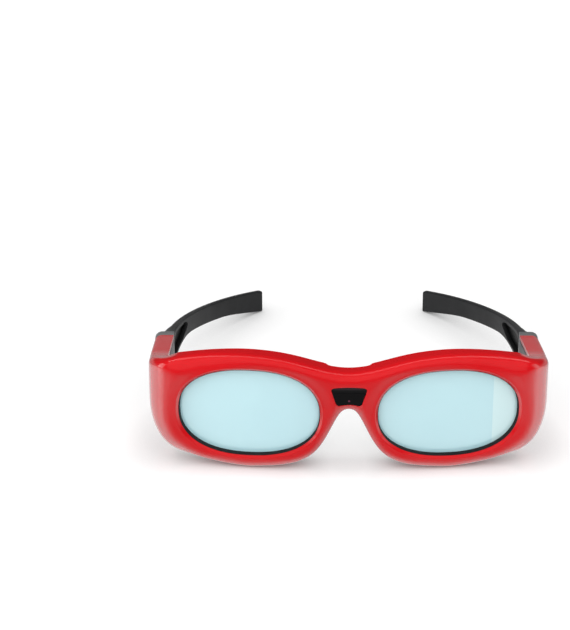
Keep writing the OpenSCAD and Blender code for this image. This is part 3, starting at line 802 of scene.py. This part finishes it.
def shellColumn(s):
    top, low, back = topZ(s), lowZ(s), shellBack(s)
    heights = rolledHeights(low, lowRoll(s)[1], top, browRoll(s)[1], shell)
    column = [(s, n, low) for n in spread(back, shellDepth(s, low), shell["edgeRows"])[:-1]]
    column += [(s, shellDepth(s, z), z) for z in heights]
    column += [(s, n, top) for n in spread(shellDepth(s, top), back, shell["edgeRows"])[1:]]
    return column


def thickenShell(piece):
    mesh = piece.data
    front = min(mesh.polygons, key=lambda polygon: polygon.center.y)
    if front.normal.y > 0:
        mesh.flip_normals()
    thicken = piece.modifiers.new("wall", "SOLIDIFY")
    thicken.thickness = shell["wall"] * mm
    thicken.offset = -1.0
    thicken.use_quality_normals = True
    # the wall is thinner at the nose
    group = piece.vertex_groups.new(name="wall")
    reach = shell["noseEdge"]
    for vertex in mesh.vertices:
        away = ease((abs(vertex.co.x) / mm - reach) / reach)
        group.add([vertex.index], mix(shell["noseWall"] / shell["wall"], 1.0, away), "REPLACE")
    thicken.vertex_group = group.name
    settle(piece)


def buildShell():
    skin = Skin()
    marks = (0.0, shell["noseEdge"], shell["templeEdge"], stubS, endS)
    columns = [shellColumn(s) for s in stations(marks, shell["counts"])]
    noseAt = shell["counts"][0]
    templeAt = noseAt + shell["counts"][1]
    low = shell["edgeRows"] + shell["openFrom"]
    high = shell["edgeRows"] + shell["rollRows"] + shell["faceRows"] + shell["openTo"]
    for side in (1, -1):
        openLattice(skin, columns, side, ((0, noseAt, low, high), (noseAt, templeAt, low, high)))
        loop = blockLoop(columns, noseAt, templeAt, low, high)
        hole = [lensAlong(s, z, shell["lensBevel"]) for s, n, z in loop]
        rings = closingRings(loop, hole, shell["lensRings"], shell["lensBend"], shellDepth)
        brink = rings[-1]
        for grow, share in shell["bevel"]:
            ring = []
            for (s, n, z), (brinkS, brinkN, brinkZ) in zip(loop, brink):
                atS, atZ = lensAlong(s, z, grow)
                ring.append((atS, mix(brinkN, shell["lipDepth"], share), atZ))
            rings.append(ring)
        skin.patch([mirrored(ring, side) for ring in rings], True)
    # the bridge block runs across both sides of the nose
    bridge = [[(-s, n, z) for s, n, z in column] for column in columns[noseAt:0:-1]]
    bridge += columns[:noseAt + 1]
    loop = blockLoop(bridge, 0, 2 * noseAt, low, high)
    counts = (2 * noseAt, high - low, 2 * noseAt, high - low)
    lip = shell["windowLip"]
    hole = windowLoop(counts, lip[0][0])
    rings = closingRings(loop, hole, shell["windowRings"], shell["windowBend"], shellDepth)
    for grow, sink in lip[1:]:
        rings.append([(s, sink, z) for s, z in windowLoop(counts, grow)])
    skin.patch([mirrored(ring, 1) for ring in rings], True)
    makePiece("frontShell", skin, "redGloss", "front", ("front_shell",),
              shell["crease"], thickenShell)


buildShell()
print("front shell built")

# rear cover: closed sections with flared eye openings and a nose saddle
cover = {
    "depth": 13.5, "front": 6.9, "stubDepth": shell["stubDepth"], "thick": 1.8, "roll": 2.6, "step": 9.6,
    "inset": 2.1, "reveal": 0.3, "saddle": 25.0, "saddleEase": 1.2, "flare": 2.0, "throat": 7.8,
    "pinch": -0.4, "noseEdge": 7.5, "templeEdge": 80.0, "lipRound": 0.25, "lipShare": 0.09,
    "wallShares": (0.03, 0.09, 0.3, 0.55, 0.8, 1.0), "crease": 38.0,
    # columns to the nose edge, temple edge, stub and end, and rows round a section
    "counts": (7, 66, 12, 18), "plugRows": 3, "rollRows": 6, "faceRows": 13,
    "openFrom": 2, "openTo": 4, "lensRings": 7, "lensBend": 1.4, "tries": 3,
}


def coverEdges(s):
    bend = turnShare(s)
    back = mix(cover["depth"], cover["stubDepth"], bend)
    plugTop = topZ(s) - cover["inset"]
    plugLow = lowZ(s) + cover["inset"] * lowLean(s)
    onSaddle = 1.0 - ease((s - cover["saddle"] + cover["saddleEase"] / 2) / cover["saddleEase"])
    return {
        "front": mix(cover["front"], cover["stubDepth"] - cover["thick"], bend),
        "step": mix(cover["step"], back - cover["thick"] / 2, bend),
        "back": back,
        "plugLow": plugLow,
        "low": mix(plugLow + cover["reveal"], lowZ(s), onSaddle),
        "top": plugTop - cover["reveal"],
        "plugTop": plugTop,
    }


def coverRoll(s, edges):
    roll = min(cover["roll"], (edges["back"] - edges["step"]) / 2)
    return roll, roll * min(shell["leanMost"], lowLean(s))


def coverDepth(s, z):
    edges = coverEdges(s)
    roll, tall = coverRoll(s, edges)
    return edges["back"] - rolledDepth(z, edges["low"], edges["top"], (roll, tall), (roll, roll))


def coverColumn(s):
    edges = coverEdges(s)
    roll, tall = coverRoll(s, edges)
    front, step, low, top = edges["front"], edges["step"], edges["low"], edges["top"]
    plugLow, plugTop = edges["plugLow"], edges["plugTop"]
    column = [(s, front, plugLow), (s, step, plugLow), (s, step, low)]
    column += [(s, coverDepth(s, z), z) for z in rolledHeights(low, tall, top, roll, cover)]
    column += [(s, step, top), (s, step, plugTop), (s, front, plugTop)]
    column += [(s, front, z) for z in spread(plugTop, plugLow, cover["faceRows"])[1:]]
    return column


def openingGrow(n):
    return mix(cover["pinch"], cover["flare"], (n - cover["throat"]) / (cover["depth"] - cover["throat"]))


def coverHole(loop):
    # the flared edge of an eye opening, where it meets the cover's back
    hole = []
    for s, n, z in loop:
        grow = cover["flare"]
        for attempt in range(cover["tries"]):
            grow = openingGrow(coverDepth(*lensAlong(s, z, grow)))
        hole.append(lensAlong(s, z, grow + cover["lipRound"]))
    return hole


def buildCover():
    skin = Skin()
    marks = (0.0, cover["noseEdge"], cover["templeEdge"], stubS, endS)
    columns = [coverColumn(s) for s in stations(marks, cover["counts"])]
    noseAt = cover["counts"][0]
    templeAt = noseAt + cover["counts"][1]
    rollRows, faceRows, plugRows = cover["rollRows"], cover["faceRows"], cover["plugRows"]
    low = plugRows + cover["openFrom"]
    high = plugRows + rollRows + faceRows + cover["openTo"]
    # the hidden front comes after the rows up the back, and runs downwards
    frontTop = 2 * plugRows + 2 * rollRows + faceRows + 1
    frontLow = frontTop + faceRows - 2
    for side in (1, -1):
        openLattice(skin, columns, side, (
            (noseAt, templeAt, low, high), (noseAt, templeAt, frontTop, frontLow)))
        loop = blockLoop(columns, noseAt, templeAt, low, high)
        rings = closingRings(loop, coverHole(loop), cover["lensRings"], cover["lensBend"], coverDepth)
        brink = rings[-1]
        for share in cover["wallShares"]:
            lipGrow = cover["lipRound"] * max(0.0, 1.0 - share / cover["lipShare"]) ** 2
            ring = []
            for (s, n, z), (brinkS, brinkN, brinkZ) in zip(loop, brink):
                atN = mix(brinkN, cover["throat"], share)
                atS, atZ = lensAlong(s, z, openingGrow(atN) + lipGrow)
                ring.append((atS, atN, atZ))
            rings.append(ring)
        throat = []
        for s, n, z in loop:
            atS, atZ = lensAlong(s, z, cover["pinch"])
            throat.append((atS, cover["front"], atZ))
        rings.append(throat)
        skin.patch([mirrored(ring, side) for ring in rings], True)
        # the hidden front face of the cover, round the same throat
        bridgeRings(skin, blockLoop(columns, noseAt, templeAt, frontLow, frontTop), throat, side)
    for side in (1, -1):
        skin.face(mirrored(columns[-1][:-1], side))
    makePiece("rearCover", skin, "blackSatin", "front", ("rear_cover",),
              cover["crease"], cutSeat)


def bridgeRings(skin, outer, inner, side):
    # joins two loops of different counts by walking both by angle round the lens
    never = 99.0

    def turned(ring):
        angles = [atan2(z - lens["z"], s - lens["s"]) % (2 * pi) for s, n, z in ring]
        first = angles.index(min(angles))
        marks = list(zip(angles, ring))
        # the first point comes again at the end, one turn on
        return marks[first:] + marks[:first] + [(angles[first] + 2 * pi, ring[first])]

    a, b = turned(outer), turned(inner)
    i = j = 0
    while i + 1 < len(a) or j + 1 < len(b):
        nextA = a[i + 1][0] if i + 1 < len(a) else never
        nextB = b[j + 1][0] if j + 1 < len(b) else never
        if nextA <= nextB:
            skin.face(mirrored((a[i][1], a[i + 1][1], b[j][1]), side))
            i += 1
        else:
            skin.face(mirrored((a[i][1], b[j + 1][1], b[j][1]), side))
            j += 1


# seat of the battery door in the cover, a round hole with an ear for its screw
seat = {"radius": 11.4, "ear": 2.6, "earAt": 14.6, "gap": 0.12, "near": 5.0, "far": 9.5,
        "count": 96, "earCount": 24}


def cutSeat(piece):
    low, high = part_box("battery_door")
    middleY = low[1] / mm + seat["radius"]
    middleZ = (low[2] + high[2]) / 2 / mm
    wide, ear = seat["radius"] + seat["gap"], seat["ear"] + seat["gap"]
    start = asin(ear / wide)
    outline = [(wide * cos(q), wide * sin(q)) for q in spread(start, 2.0 * pi - start, seat["count"])]
    outline += [(seat["earAt"] + ear * cos(q), ear * sin(q))
                for q in spread(-pi / 2, pi / 2, seat["earCount"])]
    rings = [[(face["halfW"] - n, middleY + y, middleZ + z) for y, z in outline]
             for n in (seat["near"], seat["far"])]
    skin = Skin()
    skin.patch(rings, True)
    for ring in rings:
        skin.face(ring)
    cutter = newObject("seatCutter", skin)
    cut = piece.modifiers.new("seat", "BOOLEAN")
    cut.operation = "DIFFERENCE"
    cut.solver = "EXACT"
    cut.object = cutter
    settle(piece)
    bpy.data.meshes.remove(cutter.data)  # the cutter goes with its mesh


buildCover()
print("rear cover built")

# shutters and their gaskets
shutter = {
    "front": 4.7, "thick": 2.1, "lap": 0.9, "edge": 0.35, "count": 128,
    "faceShares": (0.85, 0.7, 0.55, 0.4, 0.25, 0.12, 0.04),
}
# the gasket's section as (depth, grow of the lens outline)
gasket = {
    "profile": ((3.1, 1.2), (2.1, 0.15), (1.93, 0.0), (1.9, -0.08), (1.94, -0.18), (2.06, -0.25),
                (4.4, -0.25), (4.55, -0.2), (4.6, -0.1), (4.6, 1.2)),
    "count": 128,
}


def buildShutter(side, name):
    skin = Skin()
    near, far = shutter["front"], shutter["front"] + shutter["thick"]
    flat = [-lens["b"] * share for share in shutter["faceShares"]]
    edge = brokenEdge(shutter["edge"])
    profile = [(near, grow) for grow in flat]
    profile += [(near + along, shutter["lap"] - inset) for along, inset in edge]
    profile += [(far - along, shutter["lap"] - inset) for along, inset in edge[::-1]]
    profile += [(far, grow) for grow in flat[::-1]]
    rings = []
    for n, grow in profile:
        shrink = 1.0 + min(0.0, grow) / lens["b"]
        outline = lensRing(shutter["count"], max(0.0, grow))
        ring = [(mix(lens["s"], s, shrink), n, mix(lens["z"], z, shrink)) for s, z in outline]
        rings.append(mirrored(ring, side))
    skin.patch(rings, True)
    for ring, n in ((rings[0], near), (rings[-1], far)):
        skin.fan(ring, faceAt(side * lens["s"], n, lens["z"]))
    node = "lc_shutter_" + name.lower()
    makePiece("shutter" + name, skin, "shutterGlass", "front", (node,))


def buildGasket(side, name):
    skin = Skin()
    rings = []
    for n, grow in gasket["profile"]:
        rings.append(mirrored([(s, n, z) for s, z in lensRing(gasket["count"], grow)], side))
    rings.append(rings[0])
    skin.patch(rings, True)
    node = "lens_gasket_" + name.lower()
    makePiece("gasket" + name, skin, "gasketRubber", "front", (node,))


bothSides = ((1, "Left"), (-1, "Right"))
for side, name in bothSides:
    buildShutter(side, name)
    buildGasket(side, name)
print("shutters and gaskets built")


def buildWindow(shape):
    skin = Skin()
    slope = tan(radians(shape["bevelLean"]))
    counts = shape["counts"]

    def sunk(z):
        return max(0.0, z - shape["bevelFrom"]) * slope

    rings = [[faceAt(s, shape["thick"], z) for s, z in windowLoop(counts, 0.0)]]
    for grow, n in shape["edge"]:
        inner = windowLoop(counts, grow)
        rings.append([faceAt(s, n + sunk(z), z) for s, z in inner])
    for share in shape["faceShares"]:
        ring = []
        for s, z in inner:
            height = mix(shape["middle"], z, share)
            ring.append(faceAt(s * share, sunk(height), height))
        rings.append(ring)
    skin.patch(rings, True)
    skin.face(rings[0])
    skin.fan(rings[-1], faceAt(0.0, 0.0, shape["middle"]))
    makePiece("syncWindow", skin, "windowBlack", "front", ("sensor_window",),
              shape["crease"])


buildWindow(windowShape)
print("sync window built")

# hinge collars: a rounded band at the stub's end and the tongue that the pin holds
collar = {
    "from": 0.1, "length": 4.2, "edge": 0.45, "pinX": 80.8, "pinY": 68.8, "eye": 2.7,
    "bore": 1.03, "tongueZ": 27.5, "tongueH": 5.0, "tongueRoot": 0.3, "chamfer": 0.3,
    "backRows": 12, "count": 48,
}


def collarBand(skin, side):
    section = [(n, z) for s, n, z in shellColumn(endS)]
    section += [(shell["stubDepth"], z) for z in spread(topZ(endS), lowZ(endS), collar["backRows"])[1:-1]]
    midN = shell["stubDepth"] / 2
    midZ = (topZ(endS) + lowZ(endS)) / 2
    halfZ = (topZ(endS) - lowZ(endS)) / 2
    stops = brokenEdge(collar["edge"])
    stops += [(collar["length"] - collar["from"] - along, inset) for along, inset in reversed(stops)]
    rings = []
    for along, inset in stops:
        ring = []
        for n, z in section:
            atN = midN + (n - midN) * (1.0 - inset / midN)
            atZ = midZ + (z - midZ) * (1.0 - inset / halfZ)
            ring.append(faceAt(side * (endS + collar["from"] + along), atN, atZ))
        rings.append(ring)
    skin.patch(rings, True)
    for ring, along in ((rings[0], collar["from"]), (rings[-1], collar["length"])):
        skin.fan(ring, faceAt(side * (endS + along), midN, midZ))


def collarTongue(skin, side):
    # straight sides into a round eye, bored for the pin
    count, eye, bore, cut = collar["count"], collar["eye"], collar["bore"], collar["chamfer"]
    toRoot = collar["pinY"] - face["stubY"] - collar["length"] + collar["tongueRoot"]
    low = collar["tongueZ"] - collar["tongueH"] / 2
    high = low + collar["tongueH"]
    section = ((bore, low), (eye - cut, low), (eye, low + cut), (eye, high - cut), (eye - cut, high),
               (bore, high), (bore, low))
    rings = []
    for radius, z in section:
        ring = []
        for k in range(count):
            # a ray from the pin to the bore, or to the tongue's sides, root and eye
            q = 2 * pi * k / count
            reach = radius
            if radius > bore and sin(q) < 0:
                reach = min(radius / max(tiny, abs(cos(q))), toRoot / -sin(q))
            y = collar["pinY"] + sin(q) * reach - face["middleY"]
            ring.append((side * (collar["pinX"] + cos(q) * reach), y, z))
        rings.append(ring)
    skin.patch(rings, True)


def buildCollar(side, name):
    skin = Skin()
    collarBand(skin, side)
    collarTongue(skin, side)
    node = "hinge_collar_" + name.lower()
    makePiece("collar" + name, skin, "collarGrey", "front", (node,))


# arms: a lattice of two-sided sections along the bend, terraced outside, recessed inside
# l runs along an arm from its root, m is outwards from its inner side
arm = {
    "length": 107.0, "straight": 8.0, "bendR": 135.0, "start": 2.0, "x": 77.5, "y": 64.55,
    "thick": 4.2, "rootH": 15.0, "waistH": 8.8, "tipH": 10.7, "drop": 1.4, "sag": 0.9,
    "rootShare": 0.4, "tipShare": 0.3, "leaf": 0.05,
    "roll": 2.4, "rootRoll": 1.0, "rollRun": 15.0, "innerEdge": 0.5, "tipEdge": 0.7,
    # each terrace as (end, rise, inset)
    "terraces": ((30.0, 2.15, 0.5), (16.0, 2.15, 1.0)), "taper": 1.8, "slope": 1.7, "slant": 3.0,
    "pinL": 4.25, "pinM": 3.3, "knuckle": 4.25,
    "slotR": 3.05, "slotHalf": 3.0, "slotZ": collar["tongueZ"], "slotFade": 3.0,
    "slotRows": ((0.3, 0.34), (0.66, 0.7)),
    # edges of the recess as (l, height)
    "recessTop": ((0.0, 31.6), (8.0, 31.0), (36.0, 23.9)),
    "recessLow": ((0.0, 21.4), (8.0, 20.0), (36.0, 18.4)),
    "recess": 2.2, "recessEnd": 36.0, "recessRound": 9.0, "recessTip": 1.4, "recessStop": 0.4,
    "wallRun": 0.25, "recessShadeFrom": 0.9,
    "fineEnd": 40.0, "counts": (90, 74), "tipCount": 5, "edgeRows": 10, "edgeBias": 1.5,
    "recessRows": (3, 6, 2), "crease": 40.0,
    # rings of the strap socket as (share of the way in, grow, depth)
    "socketR": 1.1,
    "socketRings": ((0.0, 0.12, 0.0), (0.3723, 0.12, 0.0), (0.7447, 0.12, 0.0), (1.0, 0.12, 0.0),
                    (1.0, 0.0, 0.1), (1.0, 0.0, 2.0), (1.0, 0.0, 4.0), (1.0, 0.0, 6.0)),
}


def armAt(l, m, z):
    start = radians(arm["start"])
    heading = start + max(0.0, l - arm["straight"]) / arm["bendR"]
    run = min(l, arm["straight"])
    x = arm["x"] - run * sin(start) + arm["bendR"] * (cos(heading) - cos(start))
    y = arm["y"] + run * cos(start) + arm["bendR"] * (sin(heading) - sin(start))
    return (x + m * cos(heading), y + m * sin(heading) - face["middleY"], z)


def armSpan(l):
    # lower and upper edge of the arm
    share = l / arm["length"]
    top = mix(face["stubTop"] - arm["drop"], arm["tipH"], share) - arm["sag"] * sin(pi * share)
    root = (arm["rootH"] - arm["waistH"]) * (1.0 - ease(share / arm["rootShare"]))
    tip = (arm["tipH"] - arm["waistH"]) * ease((share - 1.0 + arm["tipShare"]) / arm["tipShare"])
    return top - arm["waistH"] - root - tip, top


def armTrim(l):
    past = l - arm["length"] + arm["tipEdge"]
    return rounded(arm["tipEdge"], past / arm["tipEdge"]) if past > 0 else 0.0


def armOuter(l, z, low, top):
    roll = mix(arm["rootRoll"], arm["roll"], ease(l / arm["rollRun"]))
    near = min(z - low, top - z)
    m = arm["thick"]
    if near < roll:
        m -= rounded(roll, 1.0 - near / roll)
    middle = (low + top) / 2
    for end, rise, inset in arm["terraces"]:
        edge = inset + arm["taper"] * l / end
        tip = end + arm["slant"] * (z - middle) / (top - low) - l
        inward = min(top - edge - z, z - low - edge, tip)
        m += rise * ease(inward / arm["slope"])
    return m


def armInner(l, z, low, top):
    near = min(z - low, top - z)
    m = 0.0
    if near < arm["innerEdge"]:
        m = rounded(arm["innerEdge"], 1.0 - near / arm["innerEdge"])
    m = max(m, arm["recess"] * inRecess(l, z))
    past = l - arm["pinL"]
    # the slot for the collar's tongue, then the knuckle's round front
    if past < arm["slotR"]:
        inside = clamp((arm["slotHalf"] - abs(z - arm["slotZ"])) / arm["wallRun"])
        bottom = arm["pinM"] + sqrt(arm["slotR"] ** 2 - max(0.0, past) ** 2)
        m = max(m, bottom * inside)
    if past < 0:
        m = max(m, arm["pinM"] - sqrt(max(0.0, arm["knuckle"] ** 2 - past * past)))
    return m


def heightOn(marks, l):
    for (fromL, fromZ), (toL, toZ) in zip(marks, marks[1:]):
        if l <= toL:
            break
    return mix(fromZ, toZ, (l - fromL) / (toL - fromL))


def recessEdges(l):
    # heights of the recess, closing in a round end
    top, low = heightOn(arm["recessTop"], l), heightOn(arm["recessLow"], l)
    past = clamp((l - arm["recessEnd"] + arm["recessRound"]) / arm["recessRound"])
    half = (top - low) / 2 * sqrt(1.0 - past ** 2)
    middle = mix((top + low) / 2, top - arm["recessTip"], past)
    return middle - half, middle + half


def inRecess(l, z):
    low, top = recessEdges(l)
    return clamp(min(z - low, top - z) / arm["wallRun"])


def armRows(l):
    # shares of the arm's height: lattice lines stay on the edges of the recess and the slot
    at = min(l, arm["recessEnd"] - arm["recessStop"])
    low, top = armSpan(at)
    run = arm["wallRun"]
    holeLow, holeTop = recessEdges(at)
    floorLow = holeLow + run
    floorSpan = holeTop - holeLow - 2 * run
    fade = ease((at - arm["pinL"] - arm["slotR"]) / arm["slotFade"])
    marks = [low, holeLow, floorLow]
    for side, fixed in zip((-1, 1), arm["slotRows"]):
        edge = arm["slotZ"] + side * arm["slotHalf"]
        reach = sorted((z - floorLow) / floorSpan for z in (edge, edge - side * run))
        marks += [floorLow + floorSpan * mix(a, b, fade) for a, b in zip(reach, fixed)]
    marks += [holeTop - run, holeTop, top]
    shares = [(z - low) / (top - low) for z in marks]
    rows = spread(shares[0], shares[1], arm["edgeRows"], arm["edgeBias"])
    for start, count in zip((2, 4, 6), arm["recessRows"]):
        rows += spread(shares[start], shares[start + 1], count)
    rows += spread(shares[9], shares[8], arm["edgeRows"], arm["edgeBias"])[::-1]
    return rows


def armSections():
    length, tipEdge = arm["length"], arm["tipEdge"]
    run = stations((0.0, arm["fineEnd"], length - tipEdge), arm["counts"])
    run += [length - tipEdge * (1.0 - sin(q)) for q in spread(0.0, pi / 2, arm["tipCount"])[1:]]
    sections = []
    for l in run:
        trim = armTrim(l)
        low, top = armSpan(l)
        outer, inner = [], []
        for share in armRows(l):
            z = mix(low, top, share)
            outM = armOuter(l, z, low, top) - trim
            inM = min(armInner(l, z, low, top) + trim, outM - arm["leaf"])
            trimmed = mix(low + trim, top - trim, share)
            outer.append((outM, trimmed))
            inner.append((inM, trimmed))
        sections.append((l, outer, inner))
    return sections


def buildArm(side, name):
    skin = Skin()
    sections = armSections()

    def put(l, m, z):
        x, y, height = armAt(l, m, z)
        return (side * x, y, height)

    skin.patch([[put(l, m, z) for m, z in outer + inner[::-1]] for l, outer, inner in sections], True)
    for l, outer, inner in sections:
        # painted shade: points deep in the inner recess are marked for the near-black colour
        for m, z in inner:
            if l < arm["recessEnd"] and inRecess(l, z) > arm["recessShadeFrom"]:
                skin.recessShade[skin.corner(put(l, m, z))] = 1.0
    # root end: rungs between the two sides
    l, outer, inner = sections[0]
    skin.patch([[put(l, *point) for point in outer], [put(l, *point) for point in inner]])
    # tip end: a flat face round the strap socket
    l, outer, inner = sections[-1]
    low, top = armSpan(arm["length"])
    midM, midZ = arm["thick"] / 2, (low + top) / 2
    rings = []
    for share, grow, sink in arm["socketRings"]:
        radius = arm["socketR"] + grow
        ring = []
        for m, z in outer + inner[::-1]:
            q = atan2(z - midZ, m - midM)
            atM, atZ = mix(m, midM + radius * cos(q), share), mix(z, midZ + radius * sin(q), share)
            ring.append(put(l - sink, atM, atZ))
        rings.append(ring)
    skin.patch(rings, True)
    skin.fan(rings[-1], put(l - sink, midM, midZ))  # closed at the deepest ring
    node = "arm_" + name.lower()
    makePiece("arm" + name, skin, "softTouch", node, (node,), arm["crease"])


for side, name in bothSides:
    buildCollar(side, name)
    buildArm(side, name)
print("collars and arms built")

# nodes whose CAD shape is shown as it is, with fine broken edges where they can be seen
carried = {
    "chipBlack": ("photodiode", "controller_chip"),
    "boardGreen": ("sensor_board", "main_board"),
    "filmAmber": ("shutter_tail_left", "shutter_tail_right", "brow_flex"),
    "ferrite": ("boost_coil",),
    "ceramicTan": ("capacitors",),
    "buttonBlack": ("power_button",),
    "blackSatin": ("battery_door",),
    "springBrass": ("battery_clip", "battery_leaf"),
    "washerWhite": ("hinge_washers_left", "hinge_washers_right"),
    "brushedSteel": ("tact_switch", "coin_cell", "battery_door_screw", "hinge_pin_left", "hinge_pin_right"),
}
breaks = {
    "widths": {"battery_door": 0.25, "battery_door_screw": 0.08, "power_button": 0.3},
    "weld": 0.005, "segments": 3, "angle": 40.0,
}


def breakEdges(piece, width):
    weld = piece.modifiers.new("weld", "WELD")
    weld.merge_threshold = breaks["weld"] * mm
    bevel = piece.modifiers.new("brokenEdge", "BEVEL")
    bevel.width = width * mm
    bevel.segments = breaks["segments"]
    bevel.limit_method = "ANGLE"
    bevel.angle_limit = radians(breaks["angle"])


for finishName, names in carried.items():
    for name in names:
        nodes[name].data.materials.clear()
        nodes[name].data.materials.append(finishes[finishName])
for name, width in breaks["widths"].items():
    breakEdges(nodes[name], width)
print("carried nodes dressed:", sum(len(names) for names in carried.values()))

# stage: pale floor that keeps the shadow, white world, soft lamps
stage = {
    "reach": 4.0,
    "drop": 0.00005,
    "floorTone": 0.50,
    "floorLift": (0.64, 0.95),
    "floorAhead": (-0.05, 0.12, 1.0, 0.0),
    "floorFade": (0.15, 0.60),
    "floorRoughness": 0.12,
    "floorGloss": 0.9,
    # painted contact shadow: reach of the ambient occlusion that darkens the floor's lift near the glasses
    "contact": 0.022,
    "contactSamples": 8,
    "skyForObject": 0.26,
    "skyInGloss": (0.45, 0.04),
    "skyFade": (0.0, 0.30),
    "aim": (0.0, -0.03, 0.02),
    # each lamp as (name, place, size, watts)
    "lamps": (
        ("keySoftbox", (-0.10, -0.95, 0.80), (2.0, 1.4), 15.8),
        ("overheadStrip", (0.0, -0.05, 1.60), (2.4, 0.35), 8.0),
        ("leftSoftbox", (-1.15, -0.35, 0.45), (0.5, 0.7), 3.0),
        ("rightSoftbox", (1.15, -0.35, 0.45), (0.5, 0.7), 1.6),
    ),
}


def rays(pen):
    # two masks: rays that see the stage straight or through glass, and rays that see it in gloss
    outputs = pen.node("ShaderNodeLightPath").socket.node.outputs
    camera, through, glossy = (Wire(pen, outputs["Is " + kind + " Ray"])
                               for kind in ("Camera", "Transmission", "Glossy"))
    direct = pen.node("ShaderNodeClamp", {}, {"Value": camera + through})
    return direct, pen.node("ShaderNodeClamp", {}, {"Value": camera + through + glossy}) - direct


def buildFloor():
    reach, tone = stage["reach"], stage["floorTone"]
    mesh = bpy.data.meshes.new("floor")
    corners = [(-reach, -reach, 0), (reach, -reach, 0), (reach, reach, 0), (-reach, reach, 0)]
    mesh.from_pydata(corners, [], [(0, 1, 2, 3)])
    floor = bpy.data.objects.new("floor", mesh)
    floor.location.z = -stage["drop"]
    scene.collection.objects.link(floor)
    pen = newFinish("paleFloor", {"fixed": {
        "Base Color": rgb(tone, tone, tone), "Roughness": stage["floorRoughness"],
        "Specular IOR Level": stage["floorGloss"], "Emission Strength": 1.0}})
    # the lift grows with distance, so the floor runs out to white all round
    away = pen.node("ShaderNodeVectorMath", {"operation": "LENGTH"}, {0: pen.place()}, 1)
    # painted contact shadow: ambient occlusion darkens the floor's lift close to the glasses
    near = pen.node("ShaderNodeAmbientOcclusion", {"samples": stage["contactSamples"]},
                    {"Distance": stage["contact"]}, "AO")
    # in gloss only the floor ahead of the glasses is lifted
    direct, gloss = rays(pen)
    ahead = pen.band(pen.axis(1), *stage["floorAhead"])
    lift = pen.band(away, *stage["floorFade"], *stage["floorLift"]) * (direct * near + gloss * ahead)
    mesh.materials.append(dress(pen, {
        "Emission Color": pen.node("ShaderNodeCombineColor", {}, {0: lift, 1: lift, 2: lift})}))


def buildWorld():
    world = bpy.data.worlds.new("studio")
    scene.world = world
    world.use_nodes = True
    air = Finish(world)
    shine = world.node_tree.nodes["Background"]
    air.plug(shine.inputs["Color"], rgb(1.0, 1.0, 1.0))
    # white to the camera, and in gloss a grey horizon under a dark ceiling
    height = air.axis(2, air.node("ShaderNodeTexCoord", output="Generated"))
    room = air.band(height, *stage["skyFade"], *stage["skyInGloss"])
    sky = stage["skyForObject"]
    direct, gloss = rays(air)
    air.plug(shine.inputs["Strength"], sky + direct * (1.0 - sky) + gloss * (room - sky))


def hangLamps():
    for name, spot, size, watts in stage["lamps"]:
        data = bpy.data.lights.new(name, "AREA")
        data.shape = "RECTANGLE"
        data.size, data.size_y = size
        data.energy = watts
        lamp = bpy.data.objects.new(name, data)
        scene.collection.objects.link(lamp)
        lamp.location = spot
        aim = Vector(stage["aim"]) - Vector(spot)
        lamp.rotation_euler = aim.to_track_quat("-Z", "Y").to_euler()


buildFloor()
buildWorld()
hangLamps()
print("stage set")
